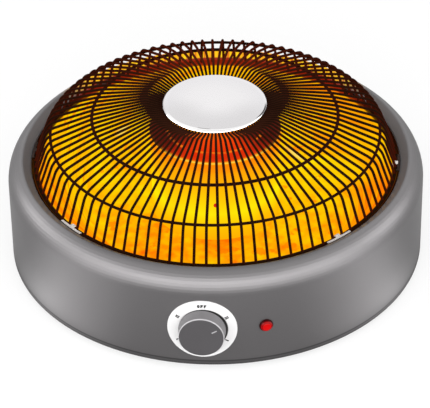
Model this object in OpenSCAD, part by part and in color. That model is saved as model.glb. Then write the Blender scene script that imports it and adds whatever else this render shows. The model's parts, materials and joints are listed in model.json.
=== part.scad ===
// A round electric brazier: a steel drum with a glowing core in a reflector bowl, under a dome of guard
// wires. Millimetres, +Z up. The origin is on the drum's axis, on the surface that the feet stand on, and
// the knob is at the front, towards -Y. Azimuths are counted from the front, towards +X.

/* [Drum] */
// Outer radius of the drum
drum_r = 200; // [194:1:215]
// Height of the drum from its lower edge to the ridge round its mouth
drum_h = 102.5; // [98:0.5:114]
// Thickness of the drum's sheet
drum_t = 1; // [0.8:0.1:1.4]
// Outer radius of the shoulder between the wall and the ridge
shoulder_r = 24; // [16:1:24]
// Width of the top from the wall to the mouth
top_w = 23; // [23:1:28]
// Height of the drum's lower edge above the surface that it stands on
foot_lift = 4; // [4:0.5:8]
// Thickness of the base plate
base_t = 0.8; // [0.6:0.1:1.2]

/* [Reflector bowl] */
// Depth from the ledge at the rim to the floor
bowl_depth = 51; // [46:1:53]
// How far the floor's edge lies inside the mouth
bowl_slope_w = 51; // [45:1:60]
// Thickness of the bowl's sheet
bowl_t = 0.8; // [0.6:0.1:1]
// How far the heat shield's edge lies inside the floor's edge
shield_inset = 8; // [4:1:20]

/* [Guard] */
// Number of radial wires
wire_count = 96; // [60:1:100]
// Thickness of a radial wire
wire_w = 2.2; // [1.6:0.1:2.4]
// Radius of the rings' wire
ring_r = 1.25; // [1:0.05:1.5]
// Height of the dome above its rim ring
dome_h = 64.5; // [60:0.5:75]
// How far the lower ring lies inside the rim ring
lower_ring_inset = 16; // [13:0.2:22]
// How far the upper ring lies inside the rim ring
upper_ring_inset = 56.2; // [44:0.2:70]
// Azimuth of the first wire
guard_turn = 0.9; // [0:0.1:3.6]
// Radius of the disc in the middle
disc_r = 50; // [44:1:56]

/* [Core] */
// Outer radius of the sleeve
core_r = 62; // [60:1:66]
// Height of the core above the bowl's floor
core_h = 88.5; // [80:0.5:90]
// Height of the cap's skirt
cap_skirt = 12; // [8:1:14]
// Number of quartz tubes inside
tube_count = 8; // [4:1:10]

/* [Control] */
// Height of the knob's and the lamp's axes
dial_z = 47; // [45:1:50]
// Radius of the dial plate
dial_r = 32; // [28:1:34]
// Radius of the knob at its base
knob_r = 21.8; // [18:0.2:23]
// How far the knob's face stands out from the drum's wall
knob_reach = 13.5; // [12:0.5:18]
// Angle of the knob's pointer, clockwise from the OFF mark
pointer_angle = 60; // [0:60:120]
// Azimuth of the pilot lamp
pilot_az = 16.8; // [14:0.2:22]
// Radius of the pilot lamp's lens
pilot_r = 6.5; // [5.6:0.1:8]

/* [Cable inlet] */
// Height of the gland's axis
gland_z = 30; // [28:1:40]
// Radius of the gland's mouth
gland_bore_r = 4.1; // [3.6:0.1:4.5]
// How far the gland stands out from the drum's wall
gland_reach = 13.5; // [10:0.5:18]

/* [Clearances] */
// Gap between pieces that rest in each other
seat_gap = 0.25; // [0.15:0.05:0.35]
// Radial clearance round the turning spindle
run_gap = 0.05; // [0.02:0.01:0.1]
// Radial clearance round screws, bolts and rivets
screw_gap = 0.15; // [0.1:0.05:0.3]
// How deep a guard wire is welded into a ring
weld = 0.3; // [0.2:0.05:0.5]

/* [Hidden] */
fine = 144;
round_fn = 48;
// Overrun of the cuts
cut = 1;
// Steps in a bend of a sheet's outline, and in a bend of a guard wire
bend_steps = 9;
wire_steps = 3;

// Drum: hem at the lower edge, flange that the base plate screws to, lip inside the mouth
hem_w = 7;
hem_h = 6;
hem_r = 2.5;
flange_w = 12;
lip_r = 3;
lip_depth = 10.5;
edge_z = foot_lift;
ridge_z = edge_z + drum_h;
deck_z = edge_z + hem_h;
hem_in_r = drum_r - hem_w;
mouth_r = drum_r - top_w;
// The ridge: the top climbs to it from the shoulder and dips from it to the mouth
ridge_share = 0.38;
ridge_bend = 2.5;
ridge_dip = 6.5;
ridge_slope = 30;
ridge_r = mouth_r + top_w * ridge_share;
shoulder_z = ridge_z - (drum_r - ridge_r) * tan(ridge_slope);
mouth_z = ridge_z - ridge_dip;
hem_bend = hem_r / 2;
plate_gap = 0.3;
plate_r = hem_in_r - hem_bend - plate_gap;
plate_z = deck_z - base_t;

// Screws: M3 and M4 shanks, heads and nuts
m3_r = 1.5;
m3_head_r = 2.8;
m3_head_h = 2;
m4_r = 2;
m4_head_r = 3.8;
m4_head_h = 2.4;
m4_nut_r = 4.04;
m4_nut_h = 3.2;
bite = 4;
base_screw_count = 6;
base_screw_ring_r = hem_in_r - flange_w / 2;
base_screw_az = 30;

// Feet
foot_count = 4;
foot_inset = 50;
foot_ring_r = drum_r - foot_inset;
foot_az = 45;
foot_r = 10;
foot_taper = 1;
foot_recess_r = 5.2;
foot_recess_h = 3.6;

// Vents in the base plate, between the heat shield's edge and the bowl bolts
vent_count = 8;
vent_w = 4;
vent_l = 26;
vent_inset = 18;

// Guard: rim ring on the bowl's ledge, wires over the rings
rim_drop = 1;
rim_gap = 1.15;
lip_gap = 0.4;
bowl_in_r = mouth_r - lip_gap - bowl_t;
rim_r = bowl_in_r - rim_gap - ring_r;
rim_z = mouth_z - rim_drop;
lower_ring_r = rim_r - lower_ring_inset;
upper_ring_r = rim_r - upper_ring_inset;
dome_top = rim_z + dome_h;
hub_lap = 5;
hub_dip = 6.3;
// Corners of a wire's line as shares of the rim's radius and of the dome's height
knee_shares = [0.927, 0.55];
crown_shares = [0.68, 0.805];
crest_share = 1.31;
knee_bend = 18;
crest_bend = 10;
wire_line = rounded([[rim_r, rim_z + ring_r - weld],
    [rim_r * knee_shares[0], rim_z + dome_h * knee_shares[1]],
    [rim_r * crown_shares[0], rim_z + dome_h * crown_shares[1]],
    [disc_r * crest_share, dome_top],
    [disc_r - hub_lap, dome_top - hub_dip]], [0, knee_bend, 0, crest_bend, 0], wire_steps);
ring_line = shifted(wire_line, wire_w / 2 + ring_r - weld);
hub_ring_r = disc_r - hub_lap + ring_r;
wire_pitch = 360 / wire_count;

// Clips at the rim, in the gaps between wires
clip_step = 12;
clip_arc = 9;
clip_t = 0.8;
clip_w = 2;
clip_leg_h = 2.4;
clip_tongue_w = 5;
clip_reach = 3;
clip_gap = 0.2;
clip_z = rim_z + ring_r + clip_gap;
clip_out_r = bowl_in_r - screw_gap;

// Disc, its stud, hub plate and nut
disc_t = 0.8;
disc_crown = 0.6;
disc_roll = 2.2;
disc_seat_z = height_at(shifted(wire_line, -wire_w / 2), disc_r - disc_t) + seat_gap;
stud_r = 2.5;
stud_foot_r = 8;
stud_foot_t = 1;
hub_plate_t = 1;
hub_plate_lap = 1;
hub_plate_z = height_at(ring_line, hub_ring_r) - ring_r - seat_gap - hub_plate_t;
hub_nut_r = 4.62;
hub_nut_h = 4;
stud_tail = 2;

// Reflector bowl
ledge_w = 6;
upstand_h = 2;
upstand_r = 0.6;
ledge_bend = 3;
floor_bend = 14;
ledge_z = rim_z - ring_r - seat_gap;
floor_z = ledge_z - bowl_depth;
bowl_floor_r = mouth_r - bowl_slope_w;
bolt_count = 4;
bolt_inset = 10;
bolt_ring_r = core_r - bolt_inset;
bolt_az = 22.5;
bush_count = 3;
bush_start_az = 90;

// Heat shield and spacers
shield_t = 0.8;
shield_r = bowl_floor_r - shield_inset;
vent_ring_r = shield_r - vent_inset;
shield_lift = 16;
shield_z = deck_z + shield_lift;
spacer_r = 4.5;
shield_edge = 3;

// Core
sleeve_t = 1.2;
cap_t = 0.8;
cap_gap = 0.2;
cap_bend = cap_t + cap_gap;
cap_r = core_r + cap_gap + cap_t;
core_top = floor_z + core_h;
bead_share = 0.72;
bead_w = 3;
bead_h = 1.2;
core_base_t = 1.2;
core_base_h = 8;
core_base_r = core_r - sleeve_t - seat_gap;
rivet_share = 0.46;
rivet_z = floor_z + core_h * rivet_share;
rivet_az = 3.7;
rivet_r = 1.2;
rivet_head_r = 2;
rivet_head_h = 0.9;
rivet_gap = 0.1;
insulator_r = core_base_r - core_base_t - 2 * seat_gap;
insulator_t = 6;
insulator_foot_r = 12;
insulator_foot_h = 3;
seat_depth = 3;
head_room = 15;
lower_z = floor_z + core_base_t + insulator_foot_h;
upper_z = core_top - cap_t - head_room - insulator_t;
tube_r = 6;
tube_t = 1;
tube_inset = 20;
tube_ring_r = core_r - tube_inset;
coil_gap = 0.35;
link_t = 0.8;
link_w = 5;
pin_r = 0.8;
rod_r = 2.5;
rod_tail = 7;
rod_head = 4.5;
cap_nut_r = 5;
cap_nut_h = 7;
cap_nut_wall = 1;
tie_nut_r = 4.62;
tie_nut_h = 4;
bush_r = 4;
bush_bore_r = 1.8;
bush_flange_r = 5.5;
bush_flange_h = 1.2;
bush_gap = 4.5;
bush_ring_r = insulator_foot_r + bush_gap + bush_flange_r;

// Dial, its marks and the knob
glue = 0.05;
dial_t = 0.6;
dial_hole_r = 8;
mark_t = 0.15;
mark_share = 0.81;
mark_h = 3.3;
mark_stroke = 0.95;
letter_w = 2.3;
letter_gap = 0.75;
letter_arm_share = 0.85;
bar_gap = 1.5;
serif_w = 1.6;
serif_h = 0.4;
knob_gap = 1.5;
knob_taper = 0.9;
knob_bevel = 0.7;
knob_wall = 1.8;
knob_web = 2;
knob_hub_r = 6;
flat_share = 0.6;
pointer_w = 1.1;
pointer_depth = 0.5;
pointer_from_share = 0.53;
pointer_to_share = 0.78;

// Switch behind the wall, counted inwards from it
spindle_r = 3;
spindle_hole_r = 5;
spindle_tail = 1;
bracket_clear = 2;
bracket_gap = hem_w + flange_w + bracket_clear;
bracket_t = 1.2;
bracket_w = 44;
bracket_foot = 16;
bracket_top = 19;
neck_r = 4.5;
neck_h = 5;
switch_w = 34;
switch_h = 30;
switch_d = 20;
switch_wall = 3;
cavity_r = 11;
cover_t = 3;
cam_r = 8.5;
cam_h = 9;
cam_gap = 2;
cam_fit = 0.02;
scallop_count = 6;
scallop_r = 1.4;
switch_screw_x = 14;
switch_screw_l = 7;
tab_t = 0.8;
tab_w = 5;
tab_l = 9;
tab_x = 7;
tab_y = 8;
switch_face = -bracket_gap - bracket_t;
switch_back = switch_face - switch_d;

// Pilot lamp
lens_flange_t = 1;
lens_h = 4.2;
lens_gap = 0.2;
plug_r = 3.4;
plug_l = 4;
pilot_body_r = 4.9;
pilot_body_l = 20;
pilot_body_t = 1;
neon_gap = 0.4;
neon_l = 12;
retainer_w = 3;
retainer_t = 0.8;
curve_gap = 0.4;

// Thermal cut-out under the bowl's floor, behind the core
cutout_inset = 38;
cutout_y = bowl_floor_r - cutout_inset;
cutout_r = 8;
cutout_h = 10;
cutout_ear_l = 30;
cutout_ear_w = 12;
cutout_ear_t = 1;
cutout_tab_l = 5;
cutout_tab_x = 4;

// Terminal block and earth stud on the base plate
block_az = 192;
block_l = 48;
block_w = 16;
block_h = 15;
block_pitch = 16;
way_r = 3;
way_z = 6;
clamp_r = 2.2;
earth_az = 214;
earth_step = 2;
earth_l = 10;

// Gland, its throat and nut
gland_flange_r = 12;
gland_flange_h = 4;
gland_dome_r = 10.5;
gland_dome_taper = 1.5;
gland_neck_r = 8;
gland_neck_l = 14;
gland_mouth_l = 12;
gland_throat_r = 3.5;
gland_nut_r = 12;
gland_nut_h = 5;

// Leads: two lanes along the drum's wall, and a level between the heat shield and the bowl's floor
lead_r = 1.3;
lead_sides = 6;
lead_gap = 0.25;
lead_run = 8;
lane_inset = 32;
lane_pitch = 7;
lane_r = drum_r - lane_inset;
lane_in_r = lane_r - lane_pitch;
block_ring_r = shield_r + 2 * lead_run + block_w;
earth_ring_r = block_ring_r + earth_step;
lane_lift = 7;
lane_z = deck_z + lane_lift;
lane_step = 14;
under_z = (shield_z + floor_z) / 2;

function unit(v) = v / norm(v);
function left(v) = [-v[1], v[0]];
function spin(v, a) = [v[0] * cos(a) - v[1] * sin(a), v[0] * sin(a) + v[1] * cos(a)];
function turn(a, b) = atan2(a[0] * b[1] - a[1] * b[0], a * b);
function reversed(p) = [for (i = [len(p) - 1 : -1 : 0]) p[i]];

// A line with each corner i rounded to radius r[i] in n steps
function rounded(p, r, n) = [for (i = [0 : len(p) - 1]) each corner(p, r, i, n)];
function corner(p, r, i, n) =
    (i == 0 || i == len(p) - 1 || r[i] == 0) ? [p[i]] :
    let (a = unit(p[i] - p[i - 1]), b = unit(p[i + 1] - p[i]), t = turn(a, b),
        start = p[i] - a * r[i] * tan(abs(t) / 2), c = start + sign(t) * r[i] * left(a))
    [for (k = [0 : n]) c + spin(start - c, t * k / n)];

// A line moved sideways to its left, and the outline of a sheet between two such lines
function leg(p, i) = unit(p[i + 1] - p[i]);
function mitre(p, i) =
    let (m = left(leg(p, max(i - 1, 0))), n = left(leg(p, min(i, len(p) - 2)))) (m + n) / (1 + m * n);
function shifted(p, t) = [for (i = [0 : len(p) - 1]) p[i] + t * mitre(p, i)];
function band(p, t0, t1) = concat(shifted(p, t0), reversed(shifted(p, t1)));

// Height of a line that runs inwards, at radius x
function leg_at(p, x) = [for (i = [0 : len(p) - 2]) if (p[i][0] >= x && p[i + 1][0] < x) i][0];
function height_at(p, x) =
    let (i = leg_at(p, x), a = p[i], b = p[i + 1]) a[1] + (b[1] - a[1]) * (x - a[0]) / (b[0] - a[0]);

// A point by azimuth, radius and height
function polar(az, r, z) = [r * sin(az), -r * cos(az), z];

// Azimuth of bush k, where a lead passes the bowl's floor
function bush_az(k) = bush_start_az + 360 / bush_count * k;

module ring(r_out, r_in, h) {
    difference() {
        cylinder(h = h, r = r_out, $fn = round_fn);
        translate([0, 0, -cut]) cylinder(h = h + 2 * cut, r = r_in, $fn = round_fn);
    }
}

module at(az, r, z) {
    rotate([0, 0, az]) translate([0, -r, z]) children();
}

// On the drum's wall: x to the right, y up and z outwards
module on_wall(az, z) {
    at(az, drum_r, z) rotate([90, 0, 0]) children();
}

module around(count, r, z, start) {
    for (k = [0 : count - 1]) at(start + 360 / count * k, r, z) children();
}

module hole(r, z0, z1, faces = round_fn) {
    translate([0, 0, z0]) cylinder(h = z1 - z0, r = r, $fn = faces);
}

// A screw with its head under z = 0 and its shank above
module screw(r, l, head_r, head_h) {
    cylinder(h = l, r = r, $fn = round_fn);
    translate([0, 0, -head_h]) cylinder(h = head_h, r = head_r, $fn = round_fn);
}

module nut(r, h, bore_r) {
    difference() {
        cylinder(h = h, r = r, $fn = 6);
        hole(bore_r, -cut, h + cut);
    }
}

drum_line = rounded([[hem_in_r - flange_w, deck_z], [hem_in_r, deck_z], [hem_in_r, edge_z],
    [drum_r, edge_z], [drum_r, shoulder_z], [ridge_r, ridge_z], [mouth_r, mouth_z],
    [mouth_r, mouth_z - lip_depth]],
    [0, hem_bend, hem_r, hem_r, shoulder_r, ridge_bend, lip_r, 0], bend_steps);

module drum_shell() {
    color("DimGray") difference() {
        rotate_extrude($fn = fine) polygon(band(drum_line, 0, drum_t));
        on_wall(0, dial_z) hole(spindle_hole_r, -drum_t - cut, cut);
        on_wall(pilot_az, dial_z) hole(pilot_body_r + screw_gap, -drum_t - cut, cut);
        on_wall(180, gland_z) hole(gland_neck_r + screw_gap, -drum_t - cut, cut);
        around(base_screw_count, base_screw_ring_r, deck_z, base_screw_az)
            hole(m3_r + screw_gap, -cut, drum_t + cut);
    }
}

module base_plate() {
    color("Silver") difference() {
        translate([0, 0, plate_z]) cylinder(h = base_t, r = plate_r, $fn = fine);
        around(base_screw_count, base_screw_ring_r, plate_z, base_screw_az)
            hole(m3_r + screw_gap, -cut, base_t + cut);
        around(foot_count, foot_ring_r, plate_z, foot_az) hole(m4_r + screw_gap, -cut, base_t + cut);
        around(bolt_count, bolt_ring_r, plate_z, bolt_az) hole(m4_r + screw_gap, -cut, base_t + cut);
        around(vent_count, vent_ring_r, plate_z + base_t / 2, 0)
            cube([vent_w, vent_l, base_t + 2 * cut], center = true);
        deck_places() translate([0, 0, plate_z]) hole(m3_r + screw_gap, -cut, base_t + cut);
        at(earth_az, earth_ring_r, plate_z) hole(m4_r + screw_gap, -cut, base_t + cut);
    }
}

module base_screws() {
    color("Gray") around(base_screw_count, base_screw_ring_r, plate_z, base_screw_az)
        screw(m3_r, base_t + drum_t + bite, m3_head_r, m3_head_h);
}

module rubber_feet() {
    color("Black") around(foot_count, foot_ring_r, 0, foot_az) difference() {
        cylinder(h = plate_z, r1 = foot_r - foot_taper, r2 = foot_r, $fn = round_fn);
        hole(foot_recess_r, -cut, foot_recess_h);
        hole(m4_r + screw_gap, 0, plate_z + cut);
    }
}

module foot_screws() {
    color("Gray") around(foot_count, foot_ring_r, foot_recess_h, foot_az)
        screw(m4_r, deck_z - foot_recess_h + m4_nut_h + drum_t, m4_head_r, m4_head_h);
}

module foot_nuts() {
    color("Gray") around(foot_count, foot_ring_r, deck_z, foot_az)
        nut(m4_nut_r, m4_nut_h, m4_r + screw_gap);
}

bowl_line = rounded([[bowl_in_r, ledge_z + upstand_h], [bowl_in_r, ledge_z],
    [bowl_in_r - ledge_w, ledge_z], [bowl_floor_r, floor_z], [0, floor_z]],
    [0, upstand_r, ledge_bend, floor_bend, 0], bend_steps);

module reflector_bowl() {
    color("Orange") difference() {
        rotate_extrude($fn = fine) polygon(band(bowl_line, 0, bowl_t));
        translate([0, 0, floor_z]) {
            hole(rod_r + screw_gap, -bowl_t - cut, cut);
            around(bolt_count, bolt_ring_r, 0, bolt_az) hole(m4_r + screw_gap, -bowl_t - cut, cut);
            around(bush_count, bush_ring_r, 0, bush_start_az) hole(bush_r + screw_gap, -bowl_t - cut, cut);
        }
    }
}

module heat_shield() {
    color("Silver") difference() {
        translate([0, 0, shield_z]) union() {
            cylinder(h = shield_t, r = shield_r, $fn = fine);
            translate([0, 0, -shield_edge]) ring(shield_r, shield_r - shield_t, shield_edge + shield_t);
        }
        around(bolt_count, bolt_ring_r, shield_z, bolt_az) hole(m4_r + screw_gap, -cut, shield_t + cut);
    }
}

module lower_spacers() {
    color("Gray") around(bolt_count, bolt_ring_r, deck_z, bolt_az)
        ring(spacer_r, m4_r + screw_gap, shield_z - deck_z);
}

module upper_spacers() {
    color("Gray") around(bolt_count, bolt_ring_r, shield_z + shield_t, bolt_az)
        ring(spacer_r, m4_r + screw_gap, floor_z - bowl_t - shield_z - shield_t);
}

module bowl_bolts() {
    color("Gray") around(bolt_count, bolt_ring_r, floor_z + core_base_t, bolt_az) mirror([0, 0, 1])
        screw(m4_r, floor_z + core_base_t - plate_z + bite, m4_head_r, m4_head_h);
}

module bowl_nuts() {
    color("Gray") around(bolt_count, bolt_ring_r, plate_z - m4_nut_h, bolt_az)
        nut(m4_nut_r, m4_nut_h, m4_r + screw_gap);
}

module guard_wires() {
    color("Black") for (k = [0 : wire_count - 1])
        rotate([0, 0, guard_turn + wire_pitch * k - 90]) rotate([90, 0, 0])
            linear_extrude(height = wire_w, center = true) polygon(band(wire_line, -wire_w / 2, wire_w / 2));
}

module guard_ring(r, z) {
    color("Black") rotate_extrude($fn = fine) translate([r, z]) circle(r = ring_r, $fn = 24);
}

module guard_rim_ring() { guard_ring(rim_r, rim_z); }

module guard_lower_ring() { guard_ring(lower_ring_r, height_at(ring_line, lower_ring_r)); }

module guard_upper_ring() { guard_ring(upper_ring_r, height_at(ring_line, upper_ring_r)); }

module guard_hub_ring() { guard_ring(hub_ring_r, height_at(ring_line, hub_ring_r)); }

// A strip over the rim with a leg behind the rim ring and a hooked tongue between two wires
module guard_clip() {
    rotate([0, 0, -clip_arc / 2]) rotate_extrude(angle = clip_arc, $fn = fine) polygon([
        [clip_out_r - clip_t, clip_z - clip_leg_h], [clip_out_r, clip_z - clip_leg_h],
        [clip_out_r, clip_z], [clip_out_r - clip_t + clip_w, clip_z],
        [clip_out_r - clip_t + clip_w, clip_z + clip_t], [clip_out_r - clip_t, clip_z + clip_t]]);
    translate([rim_r - clip_reach, -clip_tongue_w / 2, clip_z])
        cube([clip_out_r - rim_r + clip_reach, clip_tongue_w, clip_t]);
    translate([rim_r - clip_reach, -clip_tongue_w / 2, clip_z - clip_leg_h])
        cube([clip_t, clip_tongue_w, clip_leg_h + clip_t]);
}

module guard_clips() {
    color("White") for (side = [-1, 1]) for (k = [1 : 3])
        rotate([0, 0, guard_turn + wire_pitch * (side * clip_step * k - 0.5) - 90]) guard_clip();
}

disc_line = rounded([[disc_r, disc_seat_z], [disc_r, dome_top - disc_crown],
    [stud_foot_r, dome_top], [0, dome_top]], [0, disc_roll, 0, 0], bend_steps);

module center_disc() {
    color("White") rotate_extrude($fn = fine) polygon(band(disc_line, 0, disc_t));
}

module disc_stud() {
    foot_z = dome_top - disc_t - stud_foot_t;
    color("Silver") union() {
        translate([0, 0, foot_z]) cylinder(h = stud_foot_t, r = stud_foot_r, $fn = round_fn);
        translate([0, 0, hub_plate_z - hub_nut_h - stud_tail])
            cylinder(h = foot_z - hub_plate_z + hub_nut_h + stud_tail, r = stud_r, $fn = round_fn);
    }
}

module hub_plate() {
    color("Gray") translate([0, 0, hub_plate_z])
        ring(disc_r - hub_plate_lap, stud_r + screw_gap, hub_plate_t);
}

module hub_nut() {
    color("Gray") translate([0, 0, hub_plate_z - hub_nut_h]) nut(hub_nut_r, hub_nut_h, stud_r + screw_gap);
}

module core_sleeve() {
    color("Gold") difference() {
        translate([0, 0, floor_z]) difference() {
            cylinder(h = core_h - cap_t, r = core_r, $fn = fine);
            hole(core_r - sleeve_t, -cut, core_h, fine);
        }
        at(rivet_az, core_r, rivet_z) rotate([90, 0, 0]) hole(rivet_r + rivet_gap, -sleeve_t - cut, cut);
    }
}

module sleeve_rivet() {
    color("Brown") at(rivet_az, core_r, rivet_z) rotate([90, 0, 0]) {
        hole(rivet_head_r, rivet_gap, rivet_gap + rivet_head_h);
        hole(rivet_r, -sleeve_t - rivet_head_h, rivet_gap);
        hole(rivet_head_r, -sleeve_t - rivet_gap - rivet_head_h, -sleeve_t - rivet_gap);
    }
}

cap_bead_r = cap_r * bead_share;
cap_line = rounded([[cap_r, core_top - cap_skirt], [cap_r, core_top],
    [cap_bead_r + bead_w, core_top], [cap_bead_r + bead_w / 2, core_top + bead_h],
    [cap_bead_r, core_top + bead_h], [cap_bead_r - bead_w / 2, core_top], [0, core_top]],
    [0, cap_bend, 0, 0, 0, 0, 0], bend_steps);

module core_cap() {
    color("Red") difference() {
        rotate_extrude($fn = fine) polygon(band(cap_line, 0, cap_t));
        hole(rod_r + screw_gap, core_top - cap_t - cut, core_top + cut);
    }
}

module core_base() {
    base_line = [[0, floor_z], [core_base_r, floor_z], [core_base_r, floor_z + core_base_h]];
    color("Silver") difference() {
        rotate_extrude($fn = fine) polygon(band(base_line, 0, core_base_t));
        translate([0, 0, floor_z]) {
            hole(rod_r + screw_gap, -cut, core_base_t + cut);
            around(bolt_count, bolt_ring_r, 0, bolt_az) hole(m4_r + screw_gap, -cut, core_base_t + cut);
            around(bush_count, bush_ring_r, 0, bush_start_az)
                hole(bush_r + screw_gap, -cut, core_base_t + cut);
        }
    }
}

module lower_insulator() {
    color("Ivory") difference() {
        translate([0, 0, lower_z]) union() {
            cylinder(h = insulator_t, r = insulator_r, $fn = round_fn);
            hole(insulator_foot_r, -insulator_foot_h, 0);
        }
        hole(rod_r + screw_gap, floor_z, lower_z + insulator_t + cut);
        around(tube_count, tube_ring_r, lower_z + insulator_t, 0) hole(tube_r + screw_gap, -seat_depth, cut);
        around(tube_count, tube_ring_r, lower_z, 0) hole(pin_r + screw_gap, -cut, insulator_t);
    }
}

module upper_insulator() {
    color("Ivory") difference() {
        translate([0, 0, upper_z]) cylinder(h = insulator_t, r = insulator_r, $fn = round_fn);
        hole(rod_r + screw_gap, upper_z - cut, upper_z + insulator_t + cut);
        around(tube_count, tube_ring_r, upper_z, 0) hole(tube_r + screw_gap, -cut, seat_depth);
        around(tube_count, tube_ring_r, upper_z, 0) hole(pin_r + screw_gap, 0, insulator_t + cut);
    }
}

tube_z = lower_z + insulator_t - seat_depth;
tube_l = upper_z + seat_depth - tube_z;

module quartz_tubes() {
    color("LightYellow") around(tube_count, tube_ring_r, tube_z, 0)
        translate([0, 0, seat_gap / 2]) ring(tube_r, tube_r - tube_t, tube_l - seat_gap);
}

module element_coils() {
    color("OrangeRed") around(tube_count, tube_ring_r, tube_z, 0)
        hole(tube_r - tube_t - coil_gap, seat_gap / 2, tube_l - seat_gap / 2);
}

// A flat bar between two points
module strap(a, b) {
    translate(a) rotate([0, 0, atan2(b[1] - a[1], b[0] - a[0])]) translate([0, -link_w / 2, 0])
        cube([norm(b - a), link_w, link_t]);
}

// A bar from tube i to tube k, with a pin through the insulator to each coil
module tube_link(i, k, z, pin_z) {
    step = 360 / tube_count;
    for (j = [i, k]) at(step * j, tube_ring_r, z) hole(pin_r, min(pin_z, 0), max(pin_z, link_t));
    strap(polar(step * i, tube_ring_r, z), polar(step * k, tube_ring_r, z));
}

// The coils are two rows of tubes in series: live at the first and the last tube, neutral in the middle
module element_links() {
    top_z = upper_z + insulator_t;
    low_z = lower_z - link_t;
    half = tube_count / 2;
    color("Gray") {
        for (i = [0 : 2 : tube_count - 2]) tube_link(i, i + 1, top_z, seat_depth - insulator_t);
        for (i = [1 : 2 : tube_count - 3]) union() {
            tube_link(i, i + 1, low_z, link_t + insulator_t - seat_depth);
            if (i < half && i + 1 >= half)
                strap(polar(bush_az(1), bush_ring_r, low_z),
                    polar(360 / tube_count * half, tube_ring_r, low_z));
        }
        for (end = [[bush_az(2), tube_count - 1], [bush_az(0), 0]]) union() {
            strap(polar(end[0], bush_ring_r, low_z), polar(360 / tube_count * end[1], tube_ring_r, low_z));
            at(360 / tube_count * end[1], tube_ring_r, low_z)
                hole(pin_r, 0, link_t + insulator_t - seat_depth);
        }
    }
}

module tie_rod() {
    color("Gray") hole(rod_r, floor_z - bowl_t - rod_tail, core_top + rod_head);
}

module cap_nut() {
    color("Gray") translate([0, 0, core_top]) difference() {
        union() {
            cylinder(h = cap_nut_h / 2, r = cap_nut_r, $fn = 6);
            cylinder(h = cap_nut_h, r = rod_r + screw_gap + cap_nut_wall, $fn = round_fn);
        }
        hole(rod_r + screw_gap, -cut, rod_head + seat_gap);
    }
}

module tie_nut() {
    color("Gray") translate([0, 0, floor_z - bowl_t - tie_nut_h])
        nut(tie_nut_r, tie_nut_h, rod_r + screw_gap);
}

module lead_bushes() {
    color("Ivory") around(bush_count, bush_ring_r, floor_z, bush_start_az) difference() {
        union() {
            hole(bush_r, -bowl_t - bush_flange_h, core_base_t);
            hole(bush_flange_r, core_base_t, core_base_t + bush_flange_h);
        }
        hole(bush_bore_r, -bowl_t - bush_flange_h - cut, core_base_t + bush_flange_h + cut);
    }
}

// What lies between two radii from the drum's axis
module wall_skin(r_in, t) {
    translate([0, 0, dial_z - dial_r - cut]) difference() {
        cylinder(h = 2 * (dial_r + cut), r = r_in + t, $fn = fine);
        hole(r_in, -cut, 2 * (dial_r + cut) + cut, fine);
    }
}

module dial_plate() {
    color("White") intersection() {
        wall_skin(drum_r + glue, dial_t);
        on_wall(0, dial_z) translate([0, 0, -dial_r / 2]) ring(dial_r, dial_hole_r, dial_r);
    }
}

module bar(w, h) {
    translate([-w / 2, -h / 2]) square([w, h]);
}

module oval(w, h) {
    polygon([for (a = [0 : 30 : 330]) [w / 2 * cos(a), h / 2 * sin(a)]]);
}

module letter_o() {
    difference() {
        oval(letter_w, mark_h);
        oval(letter_w - 2 * mark_stroke, mark_h - 2 * mark_stroke);
    }
}

module letter_f() {
    translate([-letter_w / 2, -mark_h / 2]) {
        square([mark_stroke, mark_h]);
        translate([0, mark_h - mark_stroke]) square([letter_w, mark_stroke]);
        translate([0, mark_h / 2 - mark_stroke / 2]) square([letter_w * letter_arm_share, mark_stroke]);
    }
}

module off_mark() {
    step = letter_w + letter_gap;
    translate([-step, 0]) letter_o();
    letter_f();
    translate([step, 0]) letter_f();
}

// A numeral of upright bars between two serifs
module numeral(count) {
    for (k = [0 : count - 1]) translate([(k - (count - 1) / 2) * bar_gap, 0]) bar(mark_stroke, mark_h);
    for (y = [-1, 1])
        translate([0, y * (mark_h - serif_h) / 2]) bar(serif_w + (count - 1) * bar_gap, serif_h);
}

module dial_marks() {
    color("Black") intersection() {
        wall_skin(drum_r + 2 * glue + dial_t, mark_t);
        on_wall(0, dial_z) translate([0, 0, -dial_r / 2]) linear_extrude(height = dial_r) {
            translate([0, dial_r * mark_share]) off_mark();
            for (side = [-1, 1]) {
                rotate(side * 60) translate([0, dial_r * mark_share]) numeral(2);
                rotate(side * 120) translate([0, dial_r * mark_share]) numeral(1);
            }
        }
    }
}

// The spindle's section: round with one flat
module d_section(r) {
    difference() {
        circle(r = r, $fn = round_fn);
        translate([-r, spindle_r * flat_share + r - spindle_r]) square([2 * r, r]);
    }
}

module pointer_bar(gap, depth) {
    face_r = knob_r - knob_taper;
    pointer_l = face_r * (pointer_to_share - pointer_from_share);
    rotate([0, 0, -pointer_angle])
        translate([-pointer_w / 2 - gap, face_r * pointer_from_share - gap, knob_reach - depth])
            cube([pointer_w + 2 * gap, pointer_l + 2 * gap, pointer_depth + cut]);
}

module knob() {
    face_r = knob_r - knob_taper;
    web_z = knob_reach - knob_web;
    color("DimGray") on_wall(0, dial_z) difference() {
        rotate_extrude($fn = fine) polygon([[0, knob_reach], [face_r - knob_bevel, knob_reach],
            [face_r, knob_reach - knob_bevel], [knob_r, knob_gap], [knob_r - knob_wall, knob_gap],
            [face_r - knob_wall, web_z], [knob_hub_r, web_z], [knob_hub_r, knob_gap], [0, knob_gap]]);
        translate([0, 0, knob_gap - cut]) linear_extrude(height = web_z - knob_gap + cut)
            d_section(spindle_r + run_gap);
        pointer_bar(run_gap, pointer_depth);
    }
}

module knob_pointer() {
    color("LightGray") on_wall(0, dial_z) intersection() {
        pointer_bar(0, pointer_depth - run_gap);
        hole(knob_r, 0, knob_reach);
    }
}

spindle_in = switch_face - switch_wall - cam_gap - cam_h - spindle_tail;

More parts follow.
